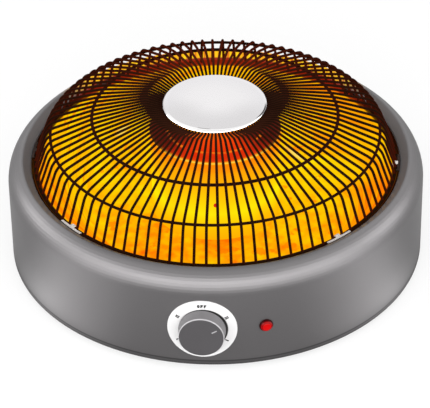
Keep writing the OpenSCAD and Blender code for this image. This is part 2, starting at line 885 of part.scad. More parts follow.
module switch_spindle() {
    web_z = knob_reach - knob_web;
    color("Silver") on_wall(0, dial_z) union() {
        hole(spindle_r, spindle_in, knob_gap - seat_gap);
        translate([0, 0, knob_gap - seat_gap])
            linear_extrude(height = web_z - knob_gap) d_section(spindle_r);
    }
}

module switch_cam() {
    cam_z = switch_face - switch_wall - cam_gap - cam_h;
    color("Ivory") on_wall(0, dial_z) translate([0, 0, cam_z]) difference() {
        cylinder(h = cam_h, r = cam_r, $fn = round_fn);
        hole(spindle_r + cam_fit, -cut, cam_h + cut);
        for (k = [0 : scallop_count - 1]) rotate([0, 0, 360 / scallop_count * k])
            translate([0, cam_r, 0]) hole(scallop_r, -cut, cam_h + cut);
    }
}

module switch_housing() {
    color("Ivory") on_wall(0, dial_z) difference() {
        union() {
            translate([-switch_w / 2, -switch_h / 2, switch_back]) cube([switch_w, switch_h, switch_d]);
            hole(neck_r, switch_face, switch_face + neck_h);
        }
        hole(spindle_r + run_gap, switch_back, switch_face + neck_h + cut);
        hole(cavity_r, switch_back - cut, switch_face - switch_wall);
        for (x = [-1, 1]) translate([x * switch_screw_x, 0, 0])
            hole(m3_r + screw_gap, switch_face - switch_screw_l - seat_gap, switch_face + cut);
    }
}

module switch_cover() {
    color("Sienna") on_wall(0, dial_z) translate([-switch_w / 2, -switch_h / 2, switch_back - cover_t])
        cube([switch_w, switch_h, cover_t]);
}

module switch_terminals() {
    color("Goldenrod") on_wall(0, dial_z) for (x = [-1 : 1]) for (y = [-1, 1])
        translate([x * tab_x - tab_t / 2, y * tab_y - tab_w / 2, switch_back - cover_t - tab_l])
            cube([tab_t, tab_w, tab_l]);
}

module switch_bracket() {
    color("Silver") on_wall(0, dial_z) difference() {
        union() {
            translate([-bracket_w / 2, deck_z - dial_z, switch_face])
                cube([bracket_w, dial_z - deck_z + bracket_top, bracket_t]);
            translate([-bracket_w / 2, deck_z - dial_z, switch_face - bracket_foot])
                cube([bracket_w, bracket_t, bracket_foot + bracket_t]);
        }
        hole(neck_r + screw_gap, switch_face - cut, -bracket_gap + cut);
        for (x = [-1, 1]) translate([x * switch_screw_x, 0, 0])
            hole(m3_r + screw_gap, switch_face - cut, -bracket_gap + cut);
        for (x = [-1, 1]) translate([x * switch_screw_x, deck_z - dial_z, switch_face - bracket_foot / 2])
            rotate([-90, 0, 0]) hole(m3_r + screw_gap, -cut, bracket_t + cut);
    }
}

module switch_screws() {
    color("Gray") on_wall(0, dial_z) for (x = [-1, 1]) translate([x * switch_screw_x, 0, -bracket_gap])
        mirror([0, 0, 1]) screw(m3_r, bracket_t + switch_screw_l, m3_head_r, m3_head_h);
}

// Where screws go through the base plate: the bracket's foot and the terminal block
module deck_places() {
    for (x = [-1, 1]) translate([x * switch_screw_x, -drum_r - switch_face + bracket_foot / 2, 0]) children();
    for (x = [-1, 1]) at(block_az, block_ring_r, 0) translate([x * block_pitch / 2, 0, 0]) children();
}

module deck_screws() {
    color("Gray") deck_places() translate([0, 0, plate_z])
        screw(m3_r, base_t + bracket_t + bite, m3_head_r, m3_head_h);
}

module pilot_lens() {
    base = lens_gap + lens_flange_t;
    dome_r = pilot_r - lens_gap;
    color("Red") on_wall(pilot_az, dial_z) rotate_extrude($fn = fine) polygon(concat(
        [[0, -plug_l], [plug_r, -plug_l], [plug_r, lens_gap], [pilot_r, lens_gap], [pilot_r, base]],
        [for (a = [0 : 10 : 90]) [dome_r * cos(a), base + (lens_h - base) * sin(a)]]));
}

module pilot_body() {
    color("White") on_wall(pilot_az, dial_z) difference() {
        hole(pilot_body_r, -pilot_body_l, 0);
        hole(pilot_body_r - pilot_body_t, -pilot_body_l + pilot_body_t, cut);
    }
}

module pilot_neon() {
    color("Orange") on_wall(pilot_az, dial_z)
        hole(pilot_body_r - pilot_body_t - neon_gap, -plug_l - seat_gap - neon_l, -plug_l - seat_gap);
}

module pilot_retainer() {
    color("Silver") on_wall(pilot_az, dial_z) translate([0, 0, -drum_t - curve_gap - retainer_t])
        ring(pilot_body_r + retainer_w, pilot_body_r + run_gap, retainer_t);
}

module thermal_cutout() {
    ear_z = floor_z - bowl_t - cutout_ear_t;
    color("SaddleBrown") translate([0, cutout_y, 0]) union() {
        translate([-cutout_ear_l / 2, -cutout_ear_w / 2, ear_z])
            cube([cutout_ear_l, cutout_ear_w, cutout_ear_t]);
        hole(cutout_r, ear_z - cutout_h, ear_z);
        for (x = [-1, 1])
            translate([x * cutout_tab_x - tab_t / 2, -tab_w / 2, ear_z - cutout_h - cutout_tab_l])
                cube([tab_t, tab_w, cutout_tab_l]);
    }
}

module ways() {
    for (k = [-1 : 1]) translate([k * block_pitch, 0, 0]) children();
}

module terminal_block() {
    color("White") at(block_az, block_ring_r, deck_z) difference() {
        translate([-block_l / 2, -block_w / 2, 0]) cube([block_l, block_w, block_h]);
        ways() translate([0, 0, way_z]) rotate([90, 0, 0]) hole(way_r, -block_w, block_w);
        ways() hole(clamp_r + screw_gap, way_z, block_h + cut);
        for (x = [-1, 1]) translate([x * block_pitch / 2, 0, 0])
            hole(m3_r + screw_gap, -cut, block_h + cut);
    }
}

module terminal_screws() {
    color("Goldenrod") at(block_az, block_ring_r, deck_z) ways()
        hole(clamp_r, way_z + lead_r + lead_gap, block_h - seat_gap);
}

module earth_stud() {
    color("Goldenrod") at(earth_az, earth_ring_r, plate_z)
        screw(m4_r, base_t + earth_l, m4_head_r, m4_head_h);
}

module earth_nut() {
    color("Goldenrod") at(earth_az, earth_ring_r, deck_z) nut(m4_nut_r, m4_nut_h, m4_r + screw_gap);
}

module cable_gland() {
    color("Black") on_wall(180, gland_z) difference() {
        union() {
            translate([0, 0, curve_gap]) cylinder(h = gland_flange_h, r = gland_flange_r, $fn = 6);
            translate([0, 0, curve_gap]) cylinder(h = gland_reach - curve_gap, r1 = gland_dome_r,
                r2 = gland_dome_r - gland_dome_taper, $fn = round_fn);
            hole(gland_neck_r, -gland_neck_l, curve_gap + cut);
        }
        hole(gland_bore_r, gland_reach - gland_mouth_l, gland_reach + cut);
        hole(gland_throat_r, -gland_neck_l - cut, gland_reach);
    }
}

module gland_nut() {
    color("Black") on_wall(180, gland_z) translate([0, 0, -drum_t - curve_gap - gland_nut_h])
        nut(gland_nut_r, gland_nut_h, gland_neck_r + screw_gap);
}

// A frame carried along a line of points without twisting, and the tube swept along it
function heading(p, i) =
    let (a = p[max(i, 1)] - p[max(i, 1) - 1], b = p[min(i + 1, len(p) - 1)] - p[min(i, len(p) - 2)])
    unit(unit(a) + unit(b));
function carried(p, i) =
    let (t = heading(p, i), v = i == 0 ? (abs(t[2]) > 0.7 ? [1, 0, 0] : [0, 0, 1]) : carried(p, i - 1))
    unit(v - (v * t) * t);

module lead(p) {
    n = len(p);
    s = lead_sides;
    points = [for (i = [0 : n - 1]) let (u = carried(p, i), w = cross(heading(p, i), u))
        for (k = [0 : s - 1]) p[i] + lead_r * (u * cos(360 / s * k) + w * sin(360 / s * k))];
    walls = [for (i = [0 : n - 2]) for (k = [0 : s - 1]) let (a = i * s + k, b = i * s + (k + 1) % s)
        each [[a, b, a + s], [b, b + s, a + s]]];
    polyhedron(points, concat([[for (k = [s - 1 : -1 : 0]) k]],
        [[for (k = [0 : s - 1]) (n - 1) * s + k]], walls));
}

// A lane along the drum's wall between two azimuths
function lane(from, to, r) =
    let (n = ceil(abs(to - from) / lane_step))
    [for (k = [0 : n]) polar(from + (to - from) * k / n, r, lane_z)];

// Over the heat shield's edge, inwards
function over_edge(az) = [polar(az, shield_r + 2 * lead_run, lane_z),
    polar(az, shield_r + lead_run, shield_z), polar(az, shield_r - lead_run, under_z)];

// Up through a bush to the strap under the lower insulator
function up_bush(az) =
    [polar(az, bush_ring_r, under_z), polar(az, bush_ring_r, lower_z - link_t - lead_gap)];

// Ends of the leads: in way k of the terminal block, at a switch tab, at the cut-out and at the lamp
function beside(az, r, x, z) = [x * cos(az) + r * sin(az), x * sin(az) - r * cos(az), z];
function way_at(k, out) = beside(block_az, block_ring_r + out, k * block_pitch, deck_z + way_z);
function tab_at(x, y, out) =
    [x * tab_x, -drum_r - switch_back + cover_t + tab_l + out, dial_z + y * tab_y];
function cutout_at(side, out) = [side * (cutout_tab_x + tab_t / 2 + out), cutout_y,
    floor_z - bowl_t - cutout_ear_t - cutout_h - cutout_tab_l / 2];
function lamp_at(side, out) =
    beside(pilot_az, drum_r - pilot_body_l - out, side * pilot_body_r / 2, dial_z);

way_end = 3 * lead_r;
cutout_run = lead_run + lead_r;
switch_run_r = drum_r + switch_back - cover_t - tab_l - lead_run;

// Azimuths, and shares of the way out from the switch's leads to the lanes and up from the lanes to the dial
switch_climb_shares = [[19, 0.7, 0.3], [14, 0.31, 0.9], [7, 0.05, 1.23]];
lamp_in_shares = [[7, 0.05, 0.63], [13, 0.53, 0.57], [16, 1.17, 0.77]];
lamp_out_shares = [[22, 1.3, 0.7], [28, 1.3, 0.3]];
function climb(shares) = [for (p = shares) polar(p[0], switch_run_r + (lane_in_r - switch_run_r) * p[1],
    lane_z + (dial_z - lane_z) * p[2])];

// Azimuths, and shares of the bolts' radius, on the level under the bowl
core_1_shares = [[-5, 1.92], [-15, 0.81]];
core_2_shares = [[5, 1.92], [12, 0.96], [50, 0.62]];
core_3_shares = [[190, 0.94], [200, 0.62]];
function under(shares) = [for (p = shares) polar(p[0], bolt_ring_r * p[1], under_z)];

switch_to_core_1 = concat([tab_at(-1, -1, lead_gap), tab_at(-1, -1, lead_run),
    polar(-3, switch_run_r, under_z)], under(core_1_shares), up_bush(bush_az(2)));
switch_to_core_2 = concat([tab_at(0, -1, lead_gap), tab_at(0, -1, lead_run),
    polar(2, switch_run_r, under_z)], under(core_2_shares), up_bush(bush_az(0)));
block_to_core = concat([way_at(0, lead_r)], over_edge(192), under(core_3_shares), up_bush(bush_az(1)));
block_to_cutout = concat([way_at(-1, lead_r)], over_edge(186),
    [polar(186, cutout_y + cutout_run, under_z - way_end), cutout_at(-1, lead_run), cutout_at(-1, lead_gap)]);
cutout_to_switch = concat([cutout_at(1, lead_gap), cutout_at(1, lead_run)],
    reversed(concat(over_edge(174), [polar(174, cutout_y + cutout_run, under_z - way_end)])),
    [polar(165, lane_in_r - lead_run, lane_z)], lane(155, 20, lane_in_r), climb(switch_climb_shares),
    [tab_at(1, 1, lead_run), tab_at(1, 1, lead_gap)]);
switch_to_lamp = concat([tab_at(1, -1, lead_gap), tab_at(1, -1, lead_run)], climb(lamp_in_shares),
    [lamp_at(-1, lead_run), lamp_at(-1, lead_gap)]);
lamp_to_block = concat([lamp_at(1, lead_gap), lamp_at(1, lead_run)], climb(lamp_out_shares),
    lane(36, 175, lane_r),
    [polar(184, lane_r + lead_r, lane_z), way_at(0, 2 * lead_run), way_at(0, way_end)]);

module power_leads() {
    color("Tan") {
        lead(switch_to_core_1);
        lead(switch_to_core_2);
        lead(block_to_core);
        lead(block_to_cutout);
        lead(cutout_to_switch);
        lead(switch_to_lamp);
        lead(lamp_to_block);
    }
}

module earth_lead() {
    stop = asin((m4_r + lead_r) / earth_ring_r);
    z = deck_z + m4_nut_h + 2 * lead_r;
    color("Green") lead([way_at(1, -lead_r), way_at(1, -2 * lead_run),
        polar(207, block_ring_r - lead_run - way_end, z),
        polar(earth_az - stop, earth_ring_r, z)]);
}

drum_shell();
base_plate();
base_screws();
rubber_feet();
foot_screws();
foot_nuts();
reflector_bowl();
heat_shield();
lower_spacers();
upper_spacers();
bowl_bolts();
bowl_nuts();
guard_wires();
guard_rim_ring();
guard_lower_ring();
guard_upper_ring();
guard_hub_ring();
guard_clips();
center_disc();
disc_stud();
hub_plate();
hub_nut();
core_sleeve();
sleeve_rivet();
core_cap();
core_base();
lower_insulator();
upper_insulator();
quartz_tubes();
element_coils();
element_links();
tie_rod();
cap_nut();
tie_nut();
lead_bushes();
dial_plate();
dial_marks();
knob();
knob_pointer();
switch_spindle();
switch_cam();
switch_housing();
switch_cover();
switch_terminals();
switch_bracket();
switch_screws();
deck_screws();
pilot_lens();
pilot_body();
pilot_neon();
pilot_retainer();
thermal_cutout();
terminal_block();
terminal_screws();
earth_stud();
earth_nut();
cable_gland();
gland_nut();
power_leads();
earth_lead();
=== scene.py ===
# %% [markdown]
# # A round electric brazier
# A grey steel drum holds a polished bowl with a glowing core in its middle. A dome of radial wires
# guards it, with a bright disc on top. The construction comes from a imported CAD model. This script
# gives each CAD piece its finish and leaves its shape alone. It makes anew only the pieces whose real
# surface is rounder or finer than their solids: the guard's wires and rings, its clips, and the
# lamp's lens.
# Everything is in metres, with +Z up and the knob at the front, towards -Y.

# %% Load the frame
import json
import math

import bmesh
import bpy
import numpy as np
from mathutils import Matrix, Vector


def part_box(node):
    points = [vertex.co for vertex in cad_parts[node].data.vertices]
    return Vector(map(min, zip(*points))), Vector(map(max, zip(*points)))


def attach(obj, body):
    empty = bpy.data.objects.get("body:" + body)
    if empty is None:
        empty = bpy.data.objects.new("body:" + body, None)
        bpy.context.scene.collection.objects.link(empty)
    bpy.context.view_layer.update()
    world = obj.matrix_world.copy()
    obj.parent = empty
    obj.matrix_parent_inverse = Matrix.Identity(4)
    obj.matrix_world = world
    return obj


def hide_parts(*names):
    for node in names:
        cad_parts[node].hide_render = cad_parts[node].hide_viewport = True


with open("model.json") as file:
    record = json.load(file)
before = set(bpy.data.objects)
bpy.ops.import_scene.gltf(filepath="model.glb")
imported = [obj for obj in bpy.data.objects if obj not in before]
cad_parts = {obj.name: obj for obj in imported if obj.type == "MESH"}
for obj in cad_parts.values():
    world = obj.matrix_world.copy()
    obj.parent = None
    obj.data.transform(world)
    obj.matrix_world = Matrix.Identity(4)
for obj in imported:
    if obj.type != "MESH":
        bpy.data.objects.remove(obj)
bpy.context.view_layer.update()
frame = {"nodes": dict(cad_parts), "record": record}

MM = 0.001
HEATER = "heater"

# %% [markdown]
# ## Camera
# The photograph was taken with a long lens from above the front, a little to the right of the knob.
# The camera looks at a point near the drum's axis, so its place is that point plus a distance along
# one direction, and its three axes are worked out so that the slight roll is exact.

# %% Camera
VIEW_AZIMUTH = math.radians(4.2)
VIEW_ELEVATION = math.radians(35.3)
VIEW_ROLL = math.radians(-0.9)
VIEW_DISTANCE = 2.43
VIEW_TARGET = Vector((-0.0012, 0, 0.0445))
SENSOR = 36.0
FOCAL_PIXELS = 2490
PHOTO_WIDTH = 430
NEAREST_SEEN = 0.1


def add_camera():
    """The camera's X, Y and Z axes are the columns of its matrix: right, up and back, rolled."""
    right = Vector((math.cos(VIEW_AZIMUTH), math.sin(VIEW_AZIMUTH), 0))
    back = Vector((math.sin(VIEW_AZIMUTH) * math.cos(VIEW_ELEVATION),
                   -math.cos(VIEW_AZIMUTH) * math.cos(VIEW_ELEVATION), math.sin(VIEW_ELEVATION)))
    up = back.cross(right)
    x_axis = math.cos(VIEW_ROLL) * right + math.sin(VIEW_ROLL) * up
    y_axis = math.cos(VIEW_ROLL) * up - math.sin(VIEW_ROLL) * right
    turn = Matrix((x_axis, y_axis, back)).transposed().to_4x4()
    data = bpy.data.cameras.new("camera")
    data.sensor_width = SENSOR
    data.lens = FOCAL_PIXELS * SENSOR / PHOTO_WIDTH
    data.clip_start = NEAREST_SEEN
    camera = bpy.data.objects.new("camera", data)
    camera.matrix_world = Matrix.Translation(VIEW_TARGET + VIEW_DISTANCE * back) @ turn
    bpy.context.scene.collection.objects.link(camera)
    bpy.context.scene.camera = camera
    return camera


camera = add_camera()
print("lens:", round(camera.data.lens, 1), "mm")

# %% [markdown]
# ## Surfaces from arrays
# Every new piece is a grid of points worked out by numpy in one go, then handed to Blender. The
# helpers number the faces of a grid, make the mesh, turn its faces outwards and keep its edges crisp.

# %% Grids and meshes


def grid_faces(rows, columns, wrap_rows=False, wrap_columns=False):
    """Four-cornered faces of a rows by columns grid of points. A wrapped side joins its last to its first."""
    i = np.arange(rows if wrap_rows else rows - 1)
    j = np.arange(columns if wrap_columns else columns - 1)
    i, j = [a.ravel() for a in np.meshgrid(i, j, indexing="ij")]
    i_next = (i + 1) % rows
    j_next = (j + 1) % columns
    return np.stack([i * columns + j, i_next * columns + j, i_next * columns + j_next,
                     i * columns + j_next], axis=1)


def make_piece(name, points, faces, material, more_faces=()):
    """A smooth mesh with its place in its vertices. more_faces may have any number of corners."""
    points = np.asarray(points, float).reshape(-1, 3)
    mesh = bpy.data.meshes.new(name)
    mesh.from_pydata(points.tolist(), [], np.asarray(faces).tolist() + [list(f) for f in more_faces])
    mesh.polygons.foreach_set("use_smooth", np.full(len(mesh.polygons), True))
    mesh.materials.append(material)
    mesh.update()
    piece = bpy.data.objects.new(name, mesh)
    bpy.context.scene.collection.objects.link(piece)
    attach(piece, HEATER)
    return piece


def outwards(piece):
    """Merges points that lie on each other, and turns all faces outwards."""
    bm = bmesh.new()
    bm.from_mesh(piece.data)
    bmesh.ops.remove_doubles(bm, verts=bm.verts, dist=1e-6)
    bmesh.ops.recalc_face_normals(bm, faces=bm.faces)
    bm.to_mesh(piece.data)
    bm.free()
    piece.data.update()
    return piece


def sharpen(piece, degrees=35):
    """Edges that turn by more than this angle stay crisp, and the rest of the surface stays smooth."""
    piece.data.set_sharp_from_angle(angle=math.radians(degrees))
    return piece


print("grid of 3 by 4 has", len(grid_faces(3, 4)), "faces")

# %% [markdown]
# ## Lines with rounded corners
# Wire and sheet metal are bent, so their outlines are a few straight stretches joined by arcs. The
# next helpers round a line's corners with arcs, and give the line a thickness on one side.

# %% Lines with rounded corners


def rounded_line(corners, radii, steps=10):
    """Each corner becomes an arc of its radius, tangent to both straight stretches.

    The arc starts radius * tan(turn / 2) before the corner, and each of its points is the centre
    plus the start's offset turned by an equal share of the whole turn.
    """
    corners = np.asarray(corners, float)
    line = [corners[0]]
    for before, corner, after, radius in zip(corners[:-2], corners[1:-1], corners[2:], radii):
        a = (corner - before) / np.linalg.norm(corner - before)
        b = (after - corner) / np.linalg.norm(after - corner)
        turn = math.atan2(a[0] * b[1] - a[1] * b[0], a @ b)
        start = corner - a * radius * math.tan(abs(turn) / 2)
        arm = -math.copysign(radius, turn) * np.array([-a[1], a[0]])
        t = turn * np.linspace(0, 1, steps + 1)[:, None]
        line.extend(start - arm + np.cos(t) * arm + np.sin(t) * np.array([-arm[1], arm[0]]))
    line.append(corners[-1])
    return np.array(line)


def beside(line, offset):
    """The line moved to its left by offset: each point moves along the mitre of its two stretches."""
    steps = np.diff(line, axis=0)
    steps /= np.linalg.norm(steps, axis=1)[:, None]
    left = np.stack([-steps[:, 1], steps[:, 0]], axis=1)
    before = np.vstack([left[:1], left])
    after = np.vstack([left, left[-1:]])
    mitre = (before + after) / (1 + np.sum(before * after, axis=1))[:, None]
    return line + offset * mitre


def sheet_section(line, thickness):
    """The closed outline of a sheet of this thickness on the line's left, or on its right if negative."""
    return np.vstack([line, beside(line, thickness)[::-1]])


print("a square bend has", len(rounded_line([[0, 0], [1, 0], [1, 1]], [0.2])), "points")

# %% [markdown]
# ## Turned outlines
# A ring of the guard has the same outline at every angle, and so has a clip, over a short arc. So each
# of them is an outline of radius and height, carried round the drum's axis.

# %% Turned outlines


def turned(section, angles):
    """Point (r, z) of the section at angle t is (r sin t, -r cos t, z), so t is 0 at the front."""
    r, z = section[:, 0][:, None], section[:, 1][:, None]
    return np.stack([r * np.sin(angles), -r * np.cos(angles), z + 0 * angles], axis=2)


quarter = turned(np.array([[1.0, 0.0]]), np.array([np.pi / 2]))
print("a quarter turn from the front is at", quarter.round(3).ravel())

# %% [markdown]
# ## Finishes
# Each finish is a Principled shader. What changes over the surface, such as grain in the paint or
# clouds in the glow, comes from nodes that read Object coordinates. They put out only colours, values
# and normals. What is the same everywhere is set on the shader itself.
# A material made in code is a chain of small nodes. These helpers each add one or two nodes and give
# back the output, so that a mask can be written as a sum or a product.

# %% Node helpers: numbers


def put(tree, value, socket):
    """Links another node's output to the socket, or sets the socket's own value."""
    if isinstance(value, bpy.types.NodeSocket):
        tree.links.new(value, socket)
    else:
        socket.default_value = value


def add_node(tree, kind, inputs=(), **settings):
    """A node with its settings and its inputs' values or links."""
    node = tree.nodes.new(kind)
    for key, value in settings.items():
        setattr(node, key, value)
    for key, value in dict(inputs).items():
        put(tree, value, node.inputs[key])
    return node


def math_node(tree, operation, a, b=0.0):
    """The output of one Math node."""
    return add_node(tree, "ShaderNodeMath", {0: a, 1: b}, operation=operation).outputs[0]


def times(tree, first, *others):
    """The product of all. A product of masks is 1 only where every one of them is."""
    for other in others:
        first = math_node(tree, "MULTIPLY", first, other)
    return first


def plus(tree, a, b):
    """The sum of two values."""
    return math_node(tree, "ADD", a, b)


def minus(tree, a, b):
    """What is left of a without b."""
    return math_node(tree, "SUBTRACT", a, b)


def apart(tree, a, b=0.0):
    """How far a is from b, to either side."""
    return math_node(tree, "ABSOLUTE", minus(tree, a, b))


def span(tree, value, low, high, out_low=0.0, out_high=1.0, smooth=True):
    """Goes from out_low to out_high while the value goes from low to high, and stays there beyond."""
    ends = {"From Min": low, "From Max": high, "To Min": out_low, "To Max": out_high}
    return add_node(tree, "ShaderNodeMapRange", {"Value": value, **ends},
                    interpolation_type="SMOOTHSTEP" if smooth else "LINEAR").outputs[0]


scratch = bpy.data.node_groups.new("scratch", "ShaderNodeTree")
times(scratch, 1.0, 2.0, 3.0)
print("a product of three takes", len(scratch.nodes), "nodes")
bpy.data.node_groups.remove(scratch)

# %% [markdown]
# A pattern has to know where on the object it is. Object coordinates say that in metres. From them come
# the radius, the height and the turn about the axis, which suit a round piece.

# %% Node helpers: places and colours


def object_point(tree):
    """The shaded point in Object coordinates, which are the model's own metres."""
    return add_node(tree, "ShaderNodeTexCoord").outputs["Object"]


def vector_math(tree, operation, a, b=(0.0, 0.0, 0.0)):
    """One Vector Math node: a number for a length or a distance, and a vector for the rest."""
    node = add_node(tree, "ShaderNodeVectorMath", {0: a, 1: b}, operation=operation)
    return node.outputs["Value" if operation in ("LENGTH", "DISTANCE") else "Vector"]


def bearing(tree, x, y):
    """The angle of a point about Z, in radians to the right of the front: arctan2(x, -y)."""
    return math_node(tree, "ARCTAN2", x, times(tree, y, -1.0))


def point_parts(tree):
    """Radius, height and turn of the shaded point. The turn goes from -1 to 1, with 0 at the front."""
    x, y, z = add_node(tree, "ShaderNodeSeparateXYZ", {0: object_point(tree)}).outputs
    radius = math_node(tree, "SQRT", plus(tree, times(tree, x, x), times(tree, y, y)))
    return radius, z, math_node(tree, "DIVIDE", bearing(tree, x, y), math.pi)


def blend_colours(tree, factor, a, b, mode="MIX"):
    """Colour a turned into colour b by the factor."""
    return add_node(tree, "ShaderNodeMix", {0: factor, 6: a, 7: b}, data_type="RGBA",
                    blend_type=mode).outputs[2]


def ramp(tree, value, stops):
    """A colour that passes through each (place, colour) of the stops in turn."""
    node = add_node(tree, "ShaderNodeValToRGB", {"Fac": value})
    elements = node.color_ramp.elements
    while len(elements) < len(stops):
        elements.new(0.5)
    for element, (place, colour) in zip(elements, stops):
        element.position = place
        element.color = colour
    return node.outputs["Color"]


def rgb(r, g, b):
    """A colour as seen on a screen, 0 to 255, turned into the light values that shaders use."""
    c = np.array([r, g, b]) / 255
    linear = np.where(c <= 0.04045, c / 12.92, ((c + 0.055) / 1.055) ** 2.4)
    return (*[float(x) for x in linear], 1.0)


print("mid grey on screen is", round(rgb(128, 128, 128)[0], 3), "in light")

# %% [markdown]
# A Principled shader has a socket for each property. Those that are the same all over are set, and
# those that vary are fed by nodes. A group is a set of nodes with a name, for use in many materials.

# %% Node helpers: materials and groups


def shaded(name, values):
    """A material whose Principled shader has these values on its own sockets."""
    material = bpy.data.materials.new(name)
    material.use_nodes = True
    for key, value in values.items():
        material.node_tree.nodes["Principled BSDF"].inputs[key].default_value = value
    return material


def feed(tree, name, source):
    """Links a source to one socket of the material's shader, in place of what fed it before."""
    tree.links.new(source, tree.nodes["Principled BSDF"].inputs[name])


def base_colour(tree):
    """What feeds the shader's Base Color so far."""
    return tree.nodes["Principled BSDF"].inputs["Base Color"].links[0].from_socket


def new_group(name, inputs, outputs):
    """An empty shader group. Its sockets are given as name and kind, such as Float or Color."""
    group = bpy.data.node_groups.new(name, "ShaderNodeTree")
    for way, sockets in (("INPUT", inputs), ("OUTPUT", outputs)):
        for socket, kind in sockets.items():
            group.interface.new_socket(name=socket, in_out=way, socket_type="NodeSocket" + kind)
    return group


plain = shaded("plain", {"Roughness": 0.5})
print("inputs of a Principled shader:", len(plain.node_tree.nodes["Principled BSDF"].inputs))
bpy.data.materials.remove(plain)

# %% [markdown]
# ### Grain
# Powder paint, moulded plastic and plated steel all have fine grain: the colour, the gloss and the
# surface itself waver at the scale of a millimetre. One group serves them all, with its own scale and
# depth in each material.

# %% The grain group
BUMP_HEIGHT = 0.2 * MM


def grain_group():
    """A fine and a coarse noise mix two colours and two roughnesses, and the fine one tilts the normal."""
    group = new_group("surface_grain",
                      {"Colour": "Color", "Second colour": "Color", "Grain per metre": "Float",
                       "Cloud per metre": "Float", "Smoothest": "Float", "Roughest": "Float",
                       "Depth": "Float"},
                      {"Colour": "Color", "Roughness": "Float", "Normal": "Vector"})
    given = add_node(group, "NodeGroupInput").outputs
    place = object_point(group)
    grain = add_node(group, "ShaderNodeTexNoise", {"Vector": place, "Scale": given["Grain per metre"],
                                                   "Detail": 3.0, "Roughness": 0.6}).outputs["Fac"]
    cloud = add_node(group, "ShaderNodeTexNoise", {"Vector": place, "Scale": given["Cloud per metre"],
                                                   "Detail": 2.0, "Roughness": 0.5}).outputs["Fac"]
    mask = span(group, plus(group, times(group, grain, 0.5), times(group, cloud, 0.5)), 0.35, 0.65)
    rough = add_node(group, "ShaderNodeMapRange", {"Value": mask, "To Min": given["Smoothest"],
                                                   "To Max": given["Roughest"]}).outputs[0]
    bump = add_node(group, "ShaderNodeBump", {"Height": grain, "Strength": given["Depth"],
                                              "Distance": BUMP_HEIGHT}).outputs["Normal"]
    colour = blend_colours(group, mask, given["Colour"], given["Second colour"])
    add_node(group, "NodeGroupOutput", {"Colour": colour, "Roughness": rough, "Normal": bump})
    return group


GRAIN = grain_group()
print("group sockets:", len(GRAIN.interface.items_tree))

# %% [markdown]
# A finish places the group in a material, with two close colours and its own scales. The drum's paint
# is the first one: satin grey with metal flakes.

# %% A finish with grain


def finish(name, colour, second=None, grain=1500.0, cloud=12.0, rough=(0.4, 0.5), depth=0.15,
           metallic=0.0, specular=0.5, glow=None, glow_strength=0.0):
    """A Principled material whose colour, roughness and normal waver with the grain group."""
    values = {"Metallic": metallic, "Specular IOR Level": specular}
    if glow:
        values.update({"Emission Color": glow, "Emission Strength": glow_strength})
    material = shaded(name, values)
    tree = material.node_tree
    group = add_node(tree, "ShaderNodeGroup",
                     {"Colour": colour, "Second colour": second or colour, "Grain per metre": grain,
                      "Cloud per metre": cloud, "Smoothest": rough[0], "Roughest": rough[1],
                      "Depth": depth}, node_tree=GRAIN)
    for socket, output in (("Base Color", "Colour"), ("Roughness", "Roughness"), ("Normal", "Normal")):
        feed(tree, socket, group.outputs[output])
    return material


DRUM_PAINT = finish("drum_paint", rgb(113, 111, 112), rgb(108, 106, 107), grain=2600, cloud=9,
                    rough=(0.38, 0.43), depth=0.05, metallic=0.8, specular=0.25)
print("nodes in the drum's paint so far:", len(DRUM_PAINT.node_tree.nodes))

# %% [markdown]
# ### Plain finishes
# The guard is near black, tinted brown as painted light from the glow behind it. The other plain
# surfaces outside are print, paint, plastic and rubber. In each the two colours are close, because
# real surfaces waver, but only a little.

# %% Finishes on the outside
# Painted light: the guard's brown tint stands in for the glow's light on black wires.
GUARD_BROWN = finish("guard_brown", rgb(24, 13, 7), rgb(16, 8, 4), grain=900, cloud=40,
                     rough=(0.6, 0.75), depth=0.2, specular=0.0)
BRIGHT = finish("bright_metal", rgb(238, 236, 236), rgb(230, 228, 229), grain=300, cloud=14,
                rough=(0.14, 0.2), depth=0.02, metallic=1.0)
RUBBER = finish("rubber", rgb(28, 28, 28), rgb(40, 40, 40), grain=1800, cloud=80,
                rough=(0.7, 0.85), depth=0.4, specular=0.3)
BLACK = finish("black_plastic", rgb(30, 30, 31), rgb(38, 38, 39), grain=2200, cloud=60,
               rough=(0.45, 0.55), depth=0.2)
BLACK_PRINT = finish("black_print", rgb(10, 9, 9), rgb(14, 13, 13), grain=2000, cloud=80,
                     rough=(0.5, 0.6), depth=0.05, specular=0.1)
POINTER = finish("pointer_paint", rgb(176, 174, 176), rgb(160, 158, 160), grain=2500, cloud=90,
                 rough=(0.5, 0.6), depth=0.1)
# Painted glow: the red rivets give off light of their own, as if lit by the core.
RIVET_RED = finish("rivet_red", rgb(150, 20, 10), rgb(120, 14, 8), glow=rgb(160, 16, 4),
                   glow_strength=0.8)
print("finishes so far:", len(bpy.data.materials))

# %% [markdown]
# The inside shows only when the model is taken apart, but each piece there has its own finish too:
# plated steel, brass, ceramic, quartz, plastic, sleeved leads, and coils that glow.

